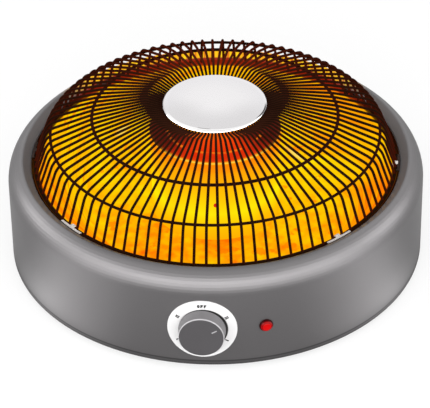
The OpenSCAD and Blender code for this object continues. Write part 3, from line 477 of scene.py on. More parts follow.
# %% Finishes inside
ZINC = finish("zinc", rgb(182, 183, 182), rgb(160, 161, 162), grain=1200, cloud=60,
              rough=(0.25, 0.4), depth=0.1, metallic=1.0)
BRASS = finish("brass", rgb(210, 176, 104), rgb(190, 150, 84), grain=1000, cloud=60,
               rough=(0.25, 0.4), depth=0.1, metallic=1.0)
LAMP_WHITE = finish("white_print", rgb(230, 229, 229), rgb(226, 225, 225), grain=1500, cloud=40,
                    rough=(0.35, 0.42), depth=0.03)
CERAMIC = finish("ceramic", rgb(232, 224, 206), rgb(220, 208, 186), grain=1600, cloud=50,
                 rough=(0.55, 0.7), depth=0.25)
QUARTZ = finish("quartz", rgb(244, 236, 226), rgb(236, 226, 214), rough=(0.1, 0.2))
IVORY = finish("ivory_plastic", rgb(226, 220, 198), rgb(216, 208, 186), grain=1800, cloud=40,
               rough=(0.4, 0.5), depth=0.1)
PHENOLIC = finish("brown_phenolic", rgb(98, 56, 34), rgb(76, 42, 26), grain=1400, cloud=70,
                  rough=(0.4, 0.55), depth=0.15)
TAN_SLEEVE = finish("tan_sleeving", rgb(190, 156, 112), rgb(172, 138, 96), grain=2600, cloud=120,
                    rough=(0.6, 0.75), depth=0.5)
GREEN_SLEEVE = finish("green_sleeving", rgb(40, 128, 58), rgb(30, 108, 46), grain=2600, cloud=120,
                      rough=(0.6, 0.75), depth=0.5)
HOT_COIL = finish("hot_coil", rgb(200, 70, 20), rgb(150, 40, 10), grain=1500, cloud=80,
                  rough=(0.5, 0.6), depth=0.3, glow=rgb(255, 110, 20), glow_strength=1.0)
# Painted glow: the hub plate over the cap gives off light, standing in for the cap's glow seen below the
# disc.
HUB_PLATE_PAINTED_GLOW = finish("hub_plate_painted_glow", rgb(60, 30, 20), rgb(44, 20, 12), grain=600, cloud=80,
                   rough=(0.4, 0.5), depth=0.1, metallic=0.8, specular=0.1, glow=rgb(232, 92, 6),
                   glow_strength=1.0)
NEON = finish("neon", rgb(255, 150, 80), rgb(255, 120, 60), grain=800, cloud=90, rough=(0.2, 0.3),
              depth=0.05, glow=rgb(255, 90, 30), glow_strength=1.0)
print("finishes so far:", len(bpy.data.materials))

# %% [markdown]
# ### Glow
# The core is lit from inside, and the bowl mirrors it in soft clouds and slanting streaks. Both could
# be lamps and mirrors, but a closed core would stay dark and the mirror would be noisy. So the glow is
# written into the surface: the light it gives off is a colour worked out from height, radius, turn
# and a noise that is wound round the axis.

# %% Wound noise


def wound_noise_group():
    """Noise at the point turned about Z by an angle that grows with its height, so clouds lean over.

    Lean is that angle for each metre. Squash below 1 draws the clouds out upwards."""
    group = new_group("wound_noise", dict.fromkeys(("Per metre", "Lean", "Detail", "Seed", "Squash"),
                                                   "Float"), {"Noise": "Float"})
    given = add_node(group, "NodeGroupInput").outputs
    place = object_point(group)
    height = add_node(group, "ShaderNodeSeparateXYZ", {0: place}).outputs["Z"]
    angle = times(group, height, given["Lean"])
    leaning = add_node(group, "ShaderNodeVectorRotate", {"Vector": place, "Angle": angle},
                       rotation_type="Z_AXIS").outputs[0]
    x, y, z = add_node(group, "ShaderNodeSeparateXYZ", {0: leaning}).outputs
    point = add_node(group, "ShaderNodeCombineXYZ", {0: x, 1: y, 2: times(group, z, given["Squash"])})
    noise = add_node(group, "ShaderNodeTexNoise",
                     {"Vector": point.outputs[0], "W": given["Seed"], "Scale": given["Per metre"],
                      "Detail": given["Detail"]}, noise_dimensions="4D")
    add_node(group, "NodeGroupOutput", {"Noise": noise.outputs["Fac"]})
    return group


WOUND_NOISE = wound_noise_group()


def wound_noise(tree, per_metre, lean=0.0, detail=2.0, seed=0.0, squash=1.0):
    """The output of one wound noise group with its own values."""
    values = {"Per metre": per_metre, "Lean": lean, "Detail": detail, "Seed": seed, "Squash": squash}
    return add_node(tree, "ShaderNodeGroup", values, node_tree=WOUND_NOISE).outputs["Noise"]


print("group sockets:", len(WOUND_NOISE.interface.items_tree))

# %% [markdown]
# A lit surface is a colour that varies, given off as light, over a dark body that barely reflects. The
# simplest is the ring at the wires' inner ends, over the hot cap, which is given a painted glow.

# %% A lit surface
BODY_CLOUDS = 60.0
BODY_SHADE = 0.7


def glow_material(name, colour_of, body_colour, rough=0.45, specular=0.05):
    """colour_of(tree) gives the light's colour, and the body is body_colour with darker clouds."""
    material = shaded(name, {"Roughness": rough, "Specular IOR Level": specular,
                             "Emission Strength": 1.0})
    tree = material.node_tree
    darker = (*[BODY_SHADE * c for c in body_colour[:3]], 1)
    feed(tree, "Emission Color", colour_of(tree))
    feed(tree, "Base Color", blend_colours(tree, wound_noise(tree, BODY_CLOUDS), body_colour, darker))
    return material


def hub_ring_colour(tree):
    """Painted glow: two oranges in clouds."""
    return ramp(tree, wound_noise(tree, 60.0, seed=4.0), [(0.3, rgb(210, 60, 6)), (0.7, rgb(236, 100, 8))])


HUB_RING_PAINTED_GLOW = glow_material("hub_ring_painted_glow", hub_ring_colour, rgb(24, 13, 7), specular=0.0)
print("nodes in the hub ring's glow:", len(HUB_RING_PAINTED_GLOW.node_tree.nodes))

# %% [markdown]
# ### Core
# The core is a sheet steel sleeve with a cap, and both glow in daylight. The sleeve is brightest a
# little below its middle. The cap is red on top, where it is cooler, with an orange bead near its edge
# and an orange skirt round the sleeve's end.

# %% Core
TUBES = 8
SLEEVE_BOTTOM = 46.5 * MM
SLEEVE_TOP = 124 * MM
CAP_RADIUS = 63 * MM
SKIRT_BOTTOM = 123 * MM
SKIRT_TOP = 135 * MM
CAP_BEND = (134.0 * MM, 134.9 * MM)
CAP_BEAD = (135.2 * MM, 136.0 * MM)


def sleeve_colour(tree):
    """A ramp over the height, plus noise and faint upright bands: the sine of the tubes' count times turn."""
    _, height, turn = point_parts(tree)
    base = ramp(tree, span(tree, height, SLEEVE_BOTTOM, SLEEVE_TOP, smooth=False),
                [(0.0, rgb(255, 176, 0)), (0.14, rgb(255, 190, 0)), (0.38, rgb(255, 232, 6)),
                 (0.6, rgb(255, 206, 0)), (0.8, rgb(255, 178, 0)), (1.0, rgb(255, 158, 0))])
    bands = times(tree, math_node(tree, "SINE", times(tree, turn, TUBES * math.pi)), 0.12)
    warm = span(tree, plus(tree, bands, wound_noise(tree, 22.0, lean=6.0)), 0.45, 0.75, 0.0, 0.4)
    return blend_colours(tree, warm, base, rgb(255, 170, 0))


def cap_colour(tree):
    """A ramp over the radius on top, with painted shade at the sides and the back, and a ramp over the
    skirt's height.
    """
    radius, height, turn = point_parts(tree)
    top = ramp(tree, span(tree, radius, 0.0, CAP_RADIUS, smooth=False),
               [(0.0, rgb(255, 96, 4)), (0.35, rgb(246, 74, 5)), (0.6, rgb(234, 58, 6)),
                (0.85, rgb(218, 44, 6)), (0.94, rgb(226, 58, 6)), (0.975, rgb(252, 150, 14)),
                (1.0, rgb(255, 224, 80))])
    # Painted shade: the cap's top darkens towards its sides and back, a little more on the left.
    shade = span(tree, apart(tree, turn, 0.04), 0.14, 0.38, 0.0, 0.95)
    top = blend_colours(tree, shade, top, rgb(58, 10, 7))
    fleck = span(tree, wound_noise(tree, 90.0, detail=4.0, seed=3.0), 0.5, 0.62)
    on_bead = span(tree, height, *CAP_BEAD)
    top = blend_colours(tree, times(tree, on_bead, fleck, 0.75), top, rgb(255, 130, 16))
    skirt = ramp(tree, span(tree, height, SKIRT_BOTTOM, SKIRT_TOP, smooth=False),
                 [(0.0, rgb(255, 160, 0)), (0.3, rgb(255, 146, 0)), (0.8, rgb(255, 136, 0)),
                  (1.0, rgb(255, 180, 6))])
    return blend_colours(tree, span(tree, height, *CAP_BEND), skirt, top)


SLEEVE_GLOW = glow_material("sleeve_glow", sleeve_colour, rgb(46, 26, 4))
CAP_GLOW = glow_material("cap_glow", cap_colour, rgb(40, 8, 4))
print("glowing finishes:", SLEEVE_GLOW.name, CAP_GLOW.name)

# %% [markdown]
# ### Bowl
# The polished bowl mirrors the core, and that reflection is painted in as the bowl's glow. On the
# real one the picture is warped by every small wave in the sheet, so it breaks up into leaning clouds
# and thin threads. Three wound noises of different sizes give that. The bowl's front and its rim are
# painted a deeper orange, with two painted glints, and its lip is painted red behind.

# %% Bowl
BEHIND = (0.66, 0.76)
BOWL_RIM = (128 * MM, 166 * MM)
BOWL_LIP = (96.9 * MM, 97.6 * MM)
GLINT_SHAPE = (0.22, 1.0, 0.6)


def glint(tree, place, size, lean):
    """A painted glint: 1 at a point given in millimetres, falling to 0 at its size, and drawn out along a
    leaning line.

    The offset from the point is turned by lean and scaled by GLINT_SHAPE before its length is taken."""
    away = vector_math(tree, "SUBTRACT", object_point(tree), tuple(MM * x for x in place))
    leaning = add_node(tree, "ShaderNodeVectorRotate", {"Vector": away, "Angle": lean},
                       rotation_type="Z_AXIS").outputs[0]
    length = vector_math(tree, "LENGTH", vector_math(tree, "MULTIPLY", leaning, GLINT_SHAPE))
    return span(tree, length, size * MM, 0.2 * size * MM)


def bowl_colour(tree):
    """Painted reflection of the core: a ramp over a level of clouds and streaks, less a drop at the front and
    near the rim, with two painted glints and a lip that is dark in front and painted red behind.
    """
    radius, height, turn = point_parts(tree)
    clouds = wound_noise(tree, 20.0, lean=14.0, detail=3.0, seed=1.0, squash=0.6)
    streaks = wound_noise(tree, 110.0, lean=38.0, detail=2.0, seed=5.0, squash=0.25)
    mix = plus(tree, times(tree, clouds, 0.6), times(tree, streaks, 0.4))
    wave = span(tree, mix, 0.3, 0.7, -0.4, 0.34, smooth=False)
    rim = span(tree, radius, *BOWL_RIM)
    front = span(tree, apart(tree, turn), 0.66, 0.3)
    side = span(tree, turn, 0.25, 0.5, 0.14, 0.26)
    drop = plus(tree, times(tree, front, minus(tree, 0.3, times(tree, rim, 0.1))), times(tree, rim, side))
    level = minus(tree, plus(tree, wave, 0.74), drop)
    inner = ramp(tree, level, [(0.0, rgb(255, 84, 0)), (0.22, rgb(255, 124, 0)), (0.42, rgb(255, 162, 0)),
                               (0.6, rgb(255, 190, 0)), (0.78, rgb(255, 208, 0)),
                               (1.0, rgb(255, 226, 10))])
    thread = wound_noise(tree, 60.0, lean=24.0, detail=4.0, seed=9.0, squash=0.3)
    inner = blend_colours(tree, span(tree, thread, 0.6, 0.64, 0.0, 0.6), inner, rgb(255, 110, 0))
    shine = math_node(tree, "MAXIMUM", glint(tree, (74, 88, 47), 4.5, 0.9),
                      glint(tree, (-101, 97, 63), 3, -0.9))
    inner = blend_colours(tree, shine, inner, rgb(255, 224, 100))
    behind = span(tree, apart(tree, turn), *BEHIND)
    lip = blend_colours(tree, behind, rgb(30, 8, 2), rgb(150, 32, 6))
    return blend_colours(tree, span(tree, height, *BOWL_LIP), inner, lip)


BOWL_PAINTED_REFLECTION = glow_material("bowl_painted_reflection", bowl_colour, rgb(26, 12, 2), specular=0.0)
print("glowing finish:", BOWL_PAINTED_REFLECTION.name)

# %% [markdown]
# ### Ridge and hem
# The drum's top climbs to a ridge and dips to the mouth. At the back its inner slope has the bowl's
# light between the wires painted on, in fine radial streaks. At the front the same slope leans away from
# the lamps, and that shade is painted in as a darker colour. At the foot the sheet is rolled into a hem,
# with painted shade as a dark line above and below.

# %% Ridge and hem
RIDGE_STREAKS = 190.0
INSIDE_CREST = (190 * MM, 187.5 * MM)
ABOVE_SHOULDER = (88 * MM, 92 * MM)
NEAR_MOUTH = (179.6 * MM, 178.2 * MM)
HEM = (4 * MM, 12 * MM)
HEM_SHADE_GREYS = ((0.0, 0.35), (0.12, 0.7), (0.55, 0.8), (0.66, 0.42), (0.74, 0.5), (0.85, 1.0))


def ridge_light(tree, radius, turn):
    """Painted light from the bowl: orange in streaks, from a noise of the turn alone, and dark red where the
    slope meets the mouth.
    """
    streaks = add_node(tree, "ShaderNodeTexNoise", {"W": times(tree, turn, RIDGE_STREAKS), "Scale": 1.0,
                                                    "Detail": 2.0}, noise_dimensions="1D").outputs["Fac"]
    lit = ramp(tree, span(tree, streaks, 0.3, 0.7, smooth=False),
               [(0.0, rgb(222, 110, 0)), (0.3, rgb(248, 164, 0)), (0.6, rgb(255, 194, 0)),
                (1.0, rgb(255, 220, 10))])
    return blend_colours(tree, span(tree, radius, *NEAR_MOUTH), lit, rgb(150, 34, 6))


def shade_paint(tree, paint, radius, height, turn):
    """Painted shade: the paint times the hem's greys over the height, and times 0.66 on the front of the
    inner slope.
    """
    ahead = times(tree, span(tree, apart(tree, turn), 0.3, 0.16), span(tree, radius, 191 * MM, 186 * MM))
    slope = span(tree, ahead, 0.0, 1.0, 1.0, 0.66)
    hem = ramp(tree, span(tree, height, *HEM, smooth=False),
               [(place, (grey, grey, grey, 1)) for place, grey in HEM_SHADE_GREYS])
    paint = blend_colours(tree, 1.0, paint, hem, "MULTIPLY")
    return blend_colours(tree, 1.0, paint, slope, "MULTIPLY")


def light_the_ridge(material):
    """Paints the bowl's light where it is behind, inside the crest and above the shoulder, and paints shade
    on the paint.
    """
    tree = material.node_tree
    radius, height, turn = point_parts(tree)
    lit = times(tree, span(tree, apart(tree, turn, 0.025), 0.69, 0.78),
                span(tree, radius, *INSIDE_CREST), span(tree, height, *ABOVE_SHOULDER))
    glow = blend_colours(tree, lit, (0, 0, 0, 1), ridge_light(tree, radius, turn))
    paint = shade_paint(tree, base_colour(tree), radius, height, turn)
    feed(tree, "Emission Color", glow)
    feed(tree, "Metallic", span(tree, radius, 183 * MM, 192 * MM, 0.1, 0.8))
    feed(tree, "Base Color", blend_colours(tree, lit, paint, rgb(40, 14, 2)))
    tree.nodes["Principled BSDF"].inputs["Emission Strength"].default_value = 1.0


light_the_ridge(DRUM_PAINT)
print("nodes in the drum's paint:", len(DRUM_PAINT.node_tree.nodes))

# %% [markdown]
# ### Painted light on the wires
# The wires' edges get painted light from the glow below, maroon near the cap, as if it creeps round
# them. Layer Weight tells edge from middle, and the radius sets the colour of that painted light.

# %% Painted light on the wires


def paint_light_on_wire_edges(material):
    """Painted light: a ramp over the radius at the wires' edges, and nearly black along their middles."""
    tree = material.node_tree
    radius, _, _ = point_parts(tree)
    glow = ramp(tree, span(tree, radius, 50 * MM, 150 * MM, smooth=False),
                [(0.0, rgb(42, 20, 13)), (0.12, rgb(56, 24, 14)), (0.35, rgb(80, 28, 12)),
                 (0.6, rgb(70, 18, 8)), (1.0, rgb(60, 14, 4))])
    edge = add_node(tree, "ShaderNodeLayerWeight", {"Blend": 0.5}).outputs["Facing"]
    feed(tree, "Emission Color", blend_colours(tree, span(tree, edge, 0.1, 0.75), rgb(20, 8, 5), glow))
    tree.nodes["Principled BSDF"].inputs["Emission Strength"].default_value = 0.9


paint_light_on_wire_edges(GUARD_BROWN)
print("nodes in the guard's brown:", len(GUARD_BROWN.node_tree.nodes))

# %% [markdown]
# ## Wires of the guard
# On the real guard 96 straight wires are bent over a form and welded onto four rings. One wire is a
# tube carried along a line of radius and height, and all the others are that tube turned about the
# axis. Worked out as one array, the whole fan takes a moment, and it stays one light mesh.

# %% Radial wires
WIRE_COUNT = 96
WIRE_PITCH = 2 * np.pi / WIRE_COUNT
WIRE_SIDES = 8
WIRE_TURN = math.radians(0.9)
# Radius and height from the rim to the hub, in millimetres, and the radii of the three bends
WIRE_LINE = rounded_line(np.array([[173.4, 99.3], [160.74, 134.48], [117.9, 150.9], [65.5, 163.5],
                                   [45, 157.2]]) * MM, np.array([18, 60, 10]) * MM, steps=7)


def azimuth_points(points, azimuths):
    """Copies of points (across, out, up), with out towards the front, turned to each azimuth."""
    points = np.asarray(points, float)
    c, s = np.cos(azimuths)[:, None], np.sin(azimuths)[:, None]
    across, out, up = points[:, 0], points[:, 1], points[:, 2]
    return np.stack([c * across + s * out, s * across - c * out, up + 0 * c], axis=2)


def wire_radius(out):
    """1.35 mm from 110 mm outwards, a little finer towards the hub, and 1.0 mm under the disc's rim."""
    return np.interp(out, [46 * MM, 62 * MM, 110 * MM], [1.0 * MM, 1.2 * MM, 1.35 * MM])


def tube_rings(line, radius):
    """Rings of points round an (out, up) line: the line's point plus radius times (cos a) of its left
    direction and (sin a) of the direction across. The radius has a row for each point of the line."""
    left = beside(line, 1.0) - line
    left /= np.linalg.norm(left, axis=1)[:, None]
    a = np.arange(WIRE_SIDES) * 2 * np.pi / WIRE_SIDES
    out = line[:, None, 0] + radius * np.cos(a) * left[:, None, 0]
    up = line[:, None, 1] + radius * np.cos(a) * left[:, None, 1]
    across = radius * np.sin(a) + 0 * out
    return np.stack([across, out, up], axis=2).reshape(-1, 3)


def radial_wires():
    """One wire's rings at every azimuth. Each copy's faces are the first one's, moved on by its points."""
    ring_points = tube_rings(WIRE_LINE, wire_radius(WIRE_LINE[:, :1]))
    azimuths = WIRE_TURN + np.arange(WIRE_COUNT) * WIRE_PITCH
    points = azimuth_points(ring_points, azimuths)
    one = grid_faces(len(WIRE_LINE), WIRE_SIDES, wrap_columns=True)
    step = np.arange(WIRE_COUNT)[:, None, None] * len(ring_points)
    walls = (one[None] + step).reshape(-1, 4)
    first = np.arange(WIRE_SIDES)
    ends = np.stack([first, first[::-1] + len(ring_points) - WIRE_SIDES])
    caps = (ends[None] + step).reshape(-1, WIRE_SIDES)
    return outwards(make_piece("guard_wires_round", points, walls, GUARD_BROWN, more_faces=caps))


wires = radial_wires()
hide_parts("guard_wires")
print("wires:", len(wires.data.polygons), "faces")

# %% [markdown]
# ## Rings of the guard
# The rings are round bars that the wires are welded to from above. Each is a small circle carried
# round a large one. The rim ring has the bowl's light painted on its inner side, and the hub ring, over
# the hot cap, has a painted orange glow.

# %% Rings
# Radius, height of the centre where the wires don't set it, and thickness, in millimetres
RINGS = {"guard_rim_ring": (173.4, 99.0, 1.55), "guard_lower_ring": (157.4, None, 1.4),
         "guard_upper_ring": (117.2, None, 1.55), "guard_hub_ring": (46.25, None, 1.2)}
WELD_DEPTH = 0.8 * MM


def under_wires(radius, thickness):
    """Height of a ring's centre that touches the wires from below at this radius, less the weld."""
    line = beside(WIRE_LINE, float(wire_radius(radius)) + thickness - WELD_DEPTH)
    return float(np.interp(radius, line[::-1, 0], line[::-1, 1]))


def ring_piece(name, radius, height, thickness, material, count=288, sides=12):
    """Point (radius + b cos v, height + b sin v) turned about the axis by u, for both angles u and v."""
    v = np.arange(sides) * 2 * np.pi / sides
    section = np.stack([radius + thickness * np.cos(v), height + thickness * np.sin(v)], axis=1)
    points = turned(section, np.linspace(0, 2 * np.pi, count, endpoint=False))
    return sharpen(outwards(make_piece(name, points, grid_faces(sides, count, True, True), material)), 80)


def rim_ring_colour(tree):
    """Painted light: red on the ring's inner side at the back, from the bowl, and one pale stretch inside the
    front, near the knob, as a painted highlight.
    """
    radius, height, turn = point_parts(tree)
    lit = times(tree, span(tree, apart(tree, turn), *BEHIND),
                span(tree, radius, 174.2 * MM, 173.0 * MM))
    colour = blend_colours(tree, lit, rgb(22, 8, 3), rgb(140, 30, 6))
    pale = times(tree, span(tree, turn, 0.02, 0.06), span(tree, turn, 0.17, 0.12),
                 span(tree, radius, 172.9 * MM, 172.3 * MM), span(tree, height, 99.2 * MM, 99.7 * MM))
    return blend_colours(tree, pale, colour, rgb(250, 200, 160))


RIM_RING_LIT = glow_material("rim_ring_lit", rim_ring_colour, rgb(24, 13, 7), specular=0.0)
RING_FINISH = {"guard_rim_ring": RIM_RING_LIT, "guard_hub_ring": HUB_RING_PAINTED_GLOW}
for node, (radius, height, thickness) in RINGS.items():
    height = height * MM if height else under_wires(radius * MM, thickness * MM)
    ring = ring_piece(node + "_round", radius * MM, height, thickness * MM,
                      RING_FINISH.get(node, GUARD_BROWN))
    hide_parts(node)
    low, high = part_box(node)
    print(node, "centre height", round(1000 * (low[2] + high[2]) / 2, 2))

# %% [markdown]
# ## Clips
# Six small spring clips hold the rim ring in the mouth. Each is a strip that lies along the ring, with
# a tongue that goes over it and down between two wires, midway between them. Both are bent sheet: an
# outline with rounded bends, carried along a short arc. The clips are twelve wires apart, with none at
# the front and the back. The front ones are painted near white as a highlight, and the others dark as
# painted shade.

# %% Clips
CLIP_SHEET = 0.8 * MM
# Half of each one's width, as an angle: the tongue is 5 mm wide at a radius of 172 mm
STRIP_HALF = math.radians(4.5)
TONGUE_HALF = 2.5 / 172
CLIP_STRIP = sheet_section(rounded_line(np.array([[174.85, 98.05], [174.85, 100.45], [177.0, 100.45]]) * MM,
                                        np.array([0.5]) * MM, 6), CLIP_SHEET)
CLIP_TONGUE = sheet_section(rounded_line(np.array([[175.2, 100.45], [171.2, 100.45], [171.2, 98.05],
                                                   [170.2, 97.95]]) * MM,
                                         np.array([0.6, 0.5]) * MM, 6), -CLIP_SHEET)
WIRES_APART = 12
CLIP_PLACES = [WIRE_TURN + WIRE_PITCH * (side * WIRES_APART * k - 0.5)
               for side in (-1, 1) for k in (1, 2, 3)]
# Painted light: one steel in two copies, a dark one as painted shade and a near white one as a painted
# highlight.
CLIP_PAINTED_SHADE = finish("clip_painted_shade", rgb(44, 22, 12), rgb(30, 14, 8), grain=400, cloud=60,
                     rough=(0.35, 0.5), depth=0.1, metallic=0.9)
CLIP_PAINTED_HIGHLIGHT = finish("clip_painted_highlight", rgb(255, 250, 246), rgb(236, 230, 226), grain=500, cloud=80,
                     rough=(0.25, 0.35), depth=0.05, metallic=0.35)


def clip_piece(name, section, centre, half, steel, count=12):
    """A closed (r, z) outline carried from one azimuth to another, with its two ends closed."""
    points = turned(section, np.linspace(centre - half, centre + half, count)).swapaxes(0, 1)
    n = len(section)
    ends = [range(n), range(n * (count - 1), n * count)[::-1]]
    piece = make_piece(name, points, grid_faces(count, n, wrap_columns=True), steel, more_faces=ends)
    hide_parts("guard_clips")
    return sharpen(outwards(piece))


clips = []
for number, place in enumerate(CLIP_PLACES):
    degrees = math.degrees(place)
    strip_steel = CLIP_PAINTED_HIGHLIGHT if abs(degrees) < 60 else CLIP_PAINTED_SHADE
    tongue_steel = CLIP_PAINTED_HIGHLIGHT if -60 < degrees < 100 else CLIP_PAINTED_SHADE
    clips.append(clip_piece(f"clip_strip_{number}", CLIP_STRIP, place, STRIP_HALF, strip_steel))
    clips.append(clip_piece(f"clip_tongue_{number}", CLIP_TONGUE, place, TONGUE_HALF, tongue_steel))
print("clip pieces:", len(clips))

# %% [markdown]
# ## Disc
# The disc on top of the dome is polished sheet with a rolled rim. It mirrors a pale room, and that
# reflection is painted into its colour: nearly white, a little greyer to the front, with a white band
# inside the rim as a painted highlight. The thin dark lines at its rim are painted reflections too, of
# things that this studio doesn't have, so they are drawn in.

# %% Disc
DISC_RADIUS = 50 * MM


def disc_material():
    """Painted reflection: colours by place, which is the radius over the disc's own, shifted a little by
    clouds.
    """
    material = finish("disc_metal", rgb(240, 238, 239), rough=(0.12, 0.18), depth=0.0, metallic=1.0)
    tree = material.node_tree
    radius, _, turn = point_parts(tree)
    cloud = span(tree, wound_noise(tree, 14.0, detail=1.0, seed=2.0), 0.3, 0.7, -0.03, 0.03)
    place = plus(tree, math_node(tree, "DIVIDE", radius, DISC_RADIUS), cloud)
    face = ramp(tree, place, [(0.0, rgb(241, 239, 240)), (0.5, rgb(239, 237, 238)), (0.9, rgb(233, 231, 233)),
                              (0.985, rgb(240, 238, 240)), (1.0, rgb(200, 190, 190))])
    greyer = times(tree, span(tree, apart(tree, turn), 0.62, 0.3), span(tree, place, 0.1, 0.8))
    face = blend_colours(tree, greyer, face, rgb(221, 219, 220))
    line = times(tree, span(tree, place, 0.935, 0.95), span(tree, place, 0.975, 0.96))
    streak = times(tree, line, span(tree, turn, 0.3, 0.36), span(tree, turn, 0.52, 0.46))
    face = blend_colours(tree, streak, face, rgb(60, 56, 56))
    band = times(tree, span(tree, apart(tree, turn), 0.4, 0.3), span(tree, place, 0.955, 0.975))
    face = blend_colours(tree, band, face, rgb(255, 254, 254))
    dash = times(tree, span(tree, apart(tree, turn, -0.05), 0.05, 0.03, 0.0, 0.5), line)
    feed(tree, "Base Color", blend_colours(tree, dash, face, rgb(90, 86, 86)))
    return material


DISC_METAL = disc_material()
print("nodes in the disc's metal:", len(DISC_METAL.node_tree.nodes))

# %% [markdown]
# ## Lamp lens
# The pilot lamp's lens is a moulded red cap with a smooth dome inside a ring of facets, which make it
# sparkle from all sides. Its facets are flats of a sixteen-sided outline, eased to a circle.

# %% Pilot lens
PILOT_AZIMUTH = math.radians(16.8)
DRUM_RADIUS = 200 * MM
DIAL_HEIGHT = 47 * MM
LENS_FACETS = 16
# The dome's radius, where it starts and how far it bulges, then the other rows, in millimetres
LENS_DOME = (4.0, 3.3, 0.9)
LENS_ROWS = [(0, -4.0, 0), (3.4, -4.0, 0), (3.4, 0.2, 0), (6.5, 0.2, 0), (6.5, 0.9, 0), (6.3, 1.1, 0),
             (6.15, 1.1, 1), (5.9, 1.9, 1), (4.9, 3.0, 1), (4.3, 3.3, 1), (4.1, 3.3, 0)]


def on_wall(points, azimuth, height):
    """Points (right, up, out) on the drum's wall at an azimuth and a height."""
    points = np.asarray(points, float)
    right, up, out = points[..., 0], points[..., 1], points[..., 2] + DRUM_RADIUS
    c, s = math.cos(azimuth), math.sin(azimuth)
    return np.stack([c * right + s * out, s * right - c * out, height + up], axis=-1)


def lens_colour(tree):
    """A ramp over the distance from the dome's middle: clear red, dark where it meets the facets."""
    centre = on_wall((0, 0, 3.5 * MM), PILOT_AZIMUTH, DIAL_HEIGHT)
    away = vector_math(tree, "DISTANCE", object_point(tree), tuple(centre))
    return ramp(tree, span(tree, away, 0.0, 7.5 * MM, smooth=False),
                [(0.0, rgb(226, 10, 10)), (0.5, rgb(212, 6, 8)), (0.57, rgb(120, 2, 4)),
                 (0.66, rgb(186, 4, 6)), (0.75, rgb(90, 2, 3)), (0.84, rgb(24, 2, 2)),
                 (1.0, rgb(14, 2, 2))])


def lens_points(count=96):
    """Rows of (radius, out, facet share), in millimetres: a row's radius at angle t is scaled by
    cos(pi / n) / cos(t'), with t' the angle from the middle of its facet, as far as the share says."""
    radius, out, bulge = LENS_DOME
    dome = [(radius * math.cos(x), out + bulge * math.sin(x), 0) for x in np.linspace(0, np.pi / 2, 8)[1:]]
    rows = np.array(LENS_ROWS + dome)
    t = np.arange(count) * 2 * np.pi / count
    width = 2 * np.pi / LENS_FACETS
    off = (t + width / 2) % width - width / 2
    flat = math.cos(width / 2) / np.cos(off)
    r = rows[:, 0][:, None] * MM * (1 + rows[:, 2][:, None] * (flat - 1))
    return np.stack([r * np.cos(t), r * np.sin(t), rows[:, 1][:, None] * MM + 0 * t], axis=2)


LENS_RED = glow_material("lens_red", lens_colour, rgb(40, 2, 3), rough=0.1, specular=0.08)
lens_grid = on_wall(lens_points(), PILOT_AZIMUTH, DIAL_HEIGHT)
lens_faces = grid_faces(*lens_grid.shape[:2], wrap_columns=True)
lens = sharpen(outwards(make_piece("pilot_lens_facets", lens_grid, lens_faces, LENS_RED)), 18)
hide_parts("pilot_lens")
print("lens:", len(lens.data.polygons), "faces")

# %% [markdown]
# ## Knob and dial
# The knob is one moulding, but its face is painted darker, as its own shade, while its side is painted
# lighter, as the light from above, and its rim has a paler painted highlight. Its colours depend only on
# how far out a point is along its axis, so they look the same however it is turned. The dial is white and
# stays still, with a soft painted shadow round the knob's foot, written in the distance from a point
# beside the knob's axis.

# %% Knob and dial
KNOB_SHADE = (1.2 * MM, -DRUM_RADIUS, DIAL_HEIGHT - 0.2 * MM)


def ahead_of_wall(distance):
    """The y of a point this many millimetres in front of the drum's wall, on the knob's axis."""
    return -DRUM_RADIUS - distance * MM


def knob_material():
    """Grey plastic with painted light: darker on the face, lighter on the side, and a pale painted highlight
    where the face meets the side.
    """
    material = finish("knob_grey", rgb(68, 66, 68), rgb(64, 62, 64), grain=3000, cloud=50,
                      rough=(0.4, 0.48), depth=0.12)
    tree = material.node_tree
    y = add_node(tree, "ShaderNodeSeparateXYZ", {0: object_point(tree)}).outputs["Y"]
    side = span(tree, y, ahead_of_wall(13.0), ahead_of_wall(12.4))
    rim = times(tree, span(tree, y, ahead_of_wall(13.49), ahead_of_wall(13.3)),
                span(tree, y, ahead_of_wall(12.1), ahead_of_wall(12.6)))
    colour = blend_colours(tree, side, base_colour(tree), rgb(106, 104, 106))
    feed(tree, "Base Color", blend_colours(tree, rim, colour, rgb(168, 166, 168)))
    return material


def dial_material():
    """White print, with a painted shadow: a dark crescent beside the knob's foot."""
    material = finish("dial_white", rgb(220, 219, 219), rgb(216, 215, 215), grain=1500, cloud=40,
                      rough=(0.35, 0.42), depth=0.03)
    tree = material.node_tree
    away = vector_math(tree, "DISTANCE", object_point(tree), KNOB_SHADE)
    shade = span(tree, away, 22.9 * MM, 22.2 * MM)
    feed(tree, "Base Color", blend_colours(tree, shade, base_colour(tree), rgb(30, 28, 28)))
    return material


KNOB_GREY = knob_material()
DIAL_WHITE = dial_material()
print("knob and dial:", DIAL_HEIGHT, "m above the floor")

# %% [markdown]
# ## Finishes on the CAD pieces
# All other pieces keep their CAD shape. Each is made of one material slot of the record, so a table
# from slot to finish dresses them all. Only the hub plate, which lies over the hot cap, differs from
# its slot: it has a painted glow.

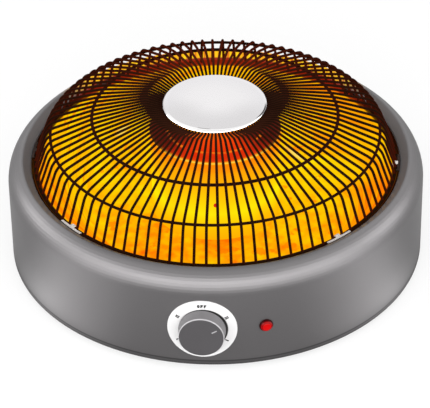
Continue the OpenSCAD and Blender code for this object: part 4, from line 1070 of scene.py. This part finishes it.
# %% Dress the CAD pieces
FINISH_OF_SLOT = {
    "drum_paint": DRUM_PAINT, "zinc_steel": ZINC, "foot_rubber": RUBBER, "bowl_metal": BOWL_PAINTED_REFLECTION,
    "guard_wire": GUARD_BROWN, "clip_steel": BRIGHT, "bright_disc": DISC_METAL, "core_glow": SLEEVE_GLOW,
    "cap_glow": CAP_GLOW, "rivet_red": RIVET_RED, "ceramic": CERAMIC, "quartz": QUARTZ,
    "coil_wire": HOT_COIL, "dial_white": DIAL_WHITE, "dial_print": BLACK_PRINT,
    "knob_plastic": KNOB_GREY, "pointer_paint": POINTER, "switch_body": IVORY, "phenolic": PHENOLIC,
    "brass": BRASS, "lens_red": LENS_RED, "lamp_body": LAMP_WHITE, "neon_glow": NEON,
    "black_plastic": BLACK, "lead_tan": TAN_SLEEVE, "lead_green": GREEN_SLEEVE}
for subpart in frame["record"]["subparts"]:
    own = HUB_PLATE_PAINTED_GLOW if subpart["node"] == "hub_plate" else FINISH_OF_SLOT[subpart["material_slot"]]
    for place in frame["nodes"][subpart["node"]].material_slots:
        place.material = own

# %% [markdown]
# ## Studio
# The photograph has a white background, and the polished parts mirror a room that it doesn't show.
# So the world is plain white to the camera and to reflections, a little greyer overhead, and gives a
# plain level of light to everything else.

# %% World
WORLD_LEVEL = 0.75


def seen_directly(tree):
    """1 for camera, glossy and transmission rays, and 0 for the rays that carry light to the object."""
    path = add_node(tree, "ShaderNodeLightPath")
    either = math_node(tree, "MAXIMUM", path.outputs["Is Camera Ray"], path.outputs["Is Glossy Ray"])
    return math_node(tree, "MAXIMUM", either, path.outputs["Is Transmission Ray"])


def make_world(strength):
    """The background's strength is 1 or the plain level, times a grey for directions that point up."""
    world = bpy.data.worlds.new("studio")
    bpy.context.scene.world = world
    world.use_nodes = True
    tree = world.node_tree
    level = span(tree, seen_directly(tree), 0.0, 1.0, strength, 1.0, smooth=False)
    direction = add_node(tree, "ShaderNodeTexCoord").outputs["Generated"]
    upwards = add_node(tree, "ShaderNodeSeparateXYZ", {0: direction}).outputs["Z"]
    background = tree.nodes["Background"]
    background.inputs["Color"].default_value = (1, 1, 1, 1)
    overhead = span(tree, upwards, 0.86, 1.0, 1.0, 0.75)
    tree.links.new(times(tree, level, overhead), background.inputs["Strength"])
    return world


print("world:", make_world(WORLD_LEVEL).name)

# %% [markdown]
# The floor is pale grey paper, which holds the drum's shadow. For the camera it gives off a light that
# lifts it to nearly white, and further away to white. The painted wall mirrors the floor close by, and
# in the photograph it shows a dark middle, a bright stretch at either side and dark edges. So for
# glossy rays the floor gives off that pattern, by its angle from the view and its distance.

# %% Floor
FLOOR_REACH = 6.0


def between(tree, value, low, high, out_low=0.0, out_high=1.0):
    """A span whose low and high are in degrees."""
    return span(tree, value, math.radians(low), math.radians(high), out_low, out_high)


def mirrored_floor(tree, sideways, distance):
    """The light for glossy rays: brightest 60 degrees to either side of the view, more so close to the
    drum, and bright in front from half a metre on. It is dark right under the drum's edge."""
    rise = between(tree, sideways, 25, 66, 0.08, 1.5)
    fall = between(tree, sideways, 57, 83, 0.0, 1.3)
    patch = times(tree, between(tree, sideways, 20, 60, 0.0, 0.9), span(tree, distance, 0.29, 0.2),
                  between(tree, sideways, 74, 54))
    ahead = times(tree, span(tree, distance, 0.5, 1.1, 0.0, 3.4), between(tree, sideways, 110, 60))
    level = plus(tree, plus(tree, ahead, patch), minus(tree, rise, fall))
    return times(tree, span(tree, distance, 0.202, 0.214), level)


def floor_paper():
    """Plain grey for light and shadow, near white for camera rays, and the pattern for glossy rays."""
    material = shaded("floor_paper", {"Roughness": 0.9, "Specular IOR Level": 0.0,
                                      "Emission Color": (1, 1, 1, 1)})
    tree = material.node_tree
    fibres = add_node(tree, "ShaderNodeTexNoise", {"Scale": 3.0}).outputs["Fac"]
    feed(tree, "Base Color", blend_colours(tree, fibres, (0.3, 0.3, 0.3, 1), (0.31, 0.31, 0.31, 1)))
    point = object_point(tree)
    x, y, _ = add_node(tree, "ShaderNodeSeparateXYZ", {0: point}).outputs
    sideways = apart(tree, bearing(tree, x, y), VIEW_AZIMUTH)
    distance = vector_math(tree, "LENGTH", point)
    path = add_node(tree, "ShaderNodeLightPath").outputs
    mirrored = times(tree, path["Is Glossy Ray"], mirrored_floor(tree, sideways, distance))
    seen = times(tree, path["Is Camera Ray"], span(tree, distance, 0.7, 2.4, 0.66, 0.95))
    feed(tree, "Emission Strength", plus(tree, seen, mirrored))
    return material


def make_floor():
    """One square face at height 0, with the object in its middle."""
    corners = np.array([[-1, -1, 0], [1, -1, 0], [1, 1, 0], [-1, 1, 0]]) * FLOOR_REACH
    mesh = bpy.data.meshes.new("floor")
    mesh.from_pydata(corners.tolist(), [], [[0, 1, 2, 3]])
    mesh.materials.append(floor_paper())
    floor = bpy.data.objects.new("floor", mesh)
    bpy.context.scene.collection.objects.link(floor)
    return floor


print("floor:", make_floor().name)

# %% [markdown]
# ## Lamps
# Five soft lamps stand low round the front and the sides: one wide lamp ahead and two at each side.
# Low lamps light the drum's wall and draw the band along its shoulder, and leave the inside of the
# ridge to the glow.

# %% Lamps
LAMP_DISTANCE = 1.6
LAMP_TARGET = Vector((0, 0, 0.08))


def soft_lamp(name, azimuth, elevation, width, height, power):
    """A rectangular lamp at an azimuth and elevation in degrees from the target, facing it."""
    a, e = math.radians(azimuth), math.radians(elevation)
    away = Vector((math.sin(a) * math.cos(e), -math.cos(a) * math.cos(e), math.sin(e)))
    light = bpy.data.lights.new(name, "AREA")
    light.shape = "RECTANGLE"
    light.size = width
    light.size_y = height
    light.energy = power
    lamp = bpy.data.objects.new(name, light)
    turn = away.to_track_quat("Z", "Y").to_matrix().to_4x4()
    lamp.matrix_world = Matrix.Translation(LAMP_TARGET + LAMP_DISTANCE * away) @ turn
    lamp.visible_camera = False
    bpy.context.scene.collection.objects.link(lamp)
    return lamp


# Azimuth and elevation, width and height in metres, and power in watts
soft_lamp("lamp_front", 0, 20, 2.4, 0.8, 24)
for side in (-1, 1):
    soft_lamp(f"lamp_between_{side}", 56 * side, 20, 0.9, 0.8, 8)
    soft_lamp(f"lamp_side_{side}", 97 * side, 18, 0.9, 0.7, 8)

# %% [markdown]
# ## Finish
# The view transform is the plain one, so a colour shows as it is written.

# %% Finish
bpy.context.scene.view_settings.view_transform = "Standard"
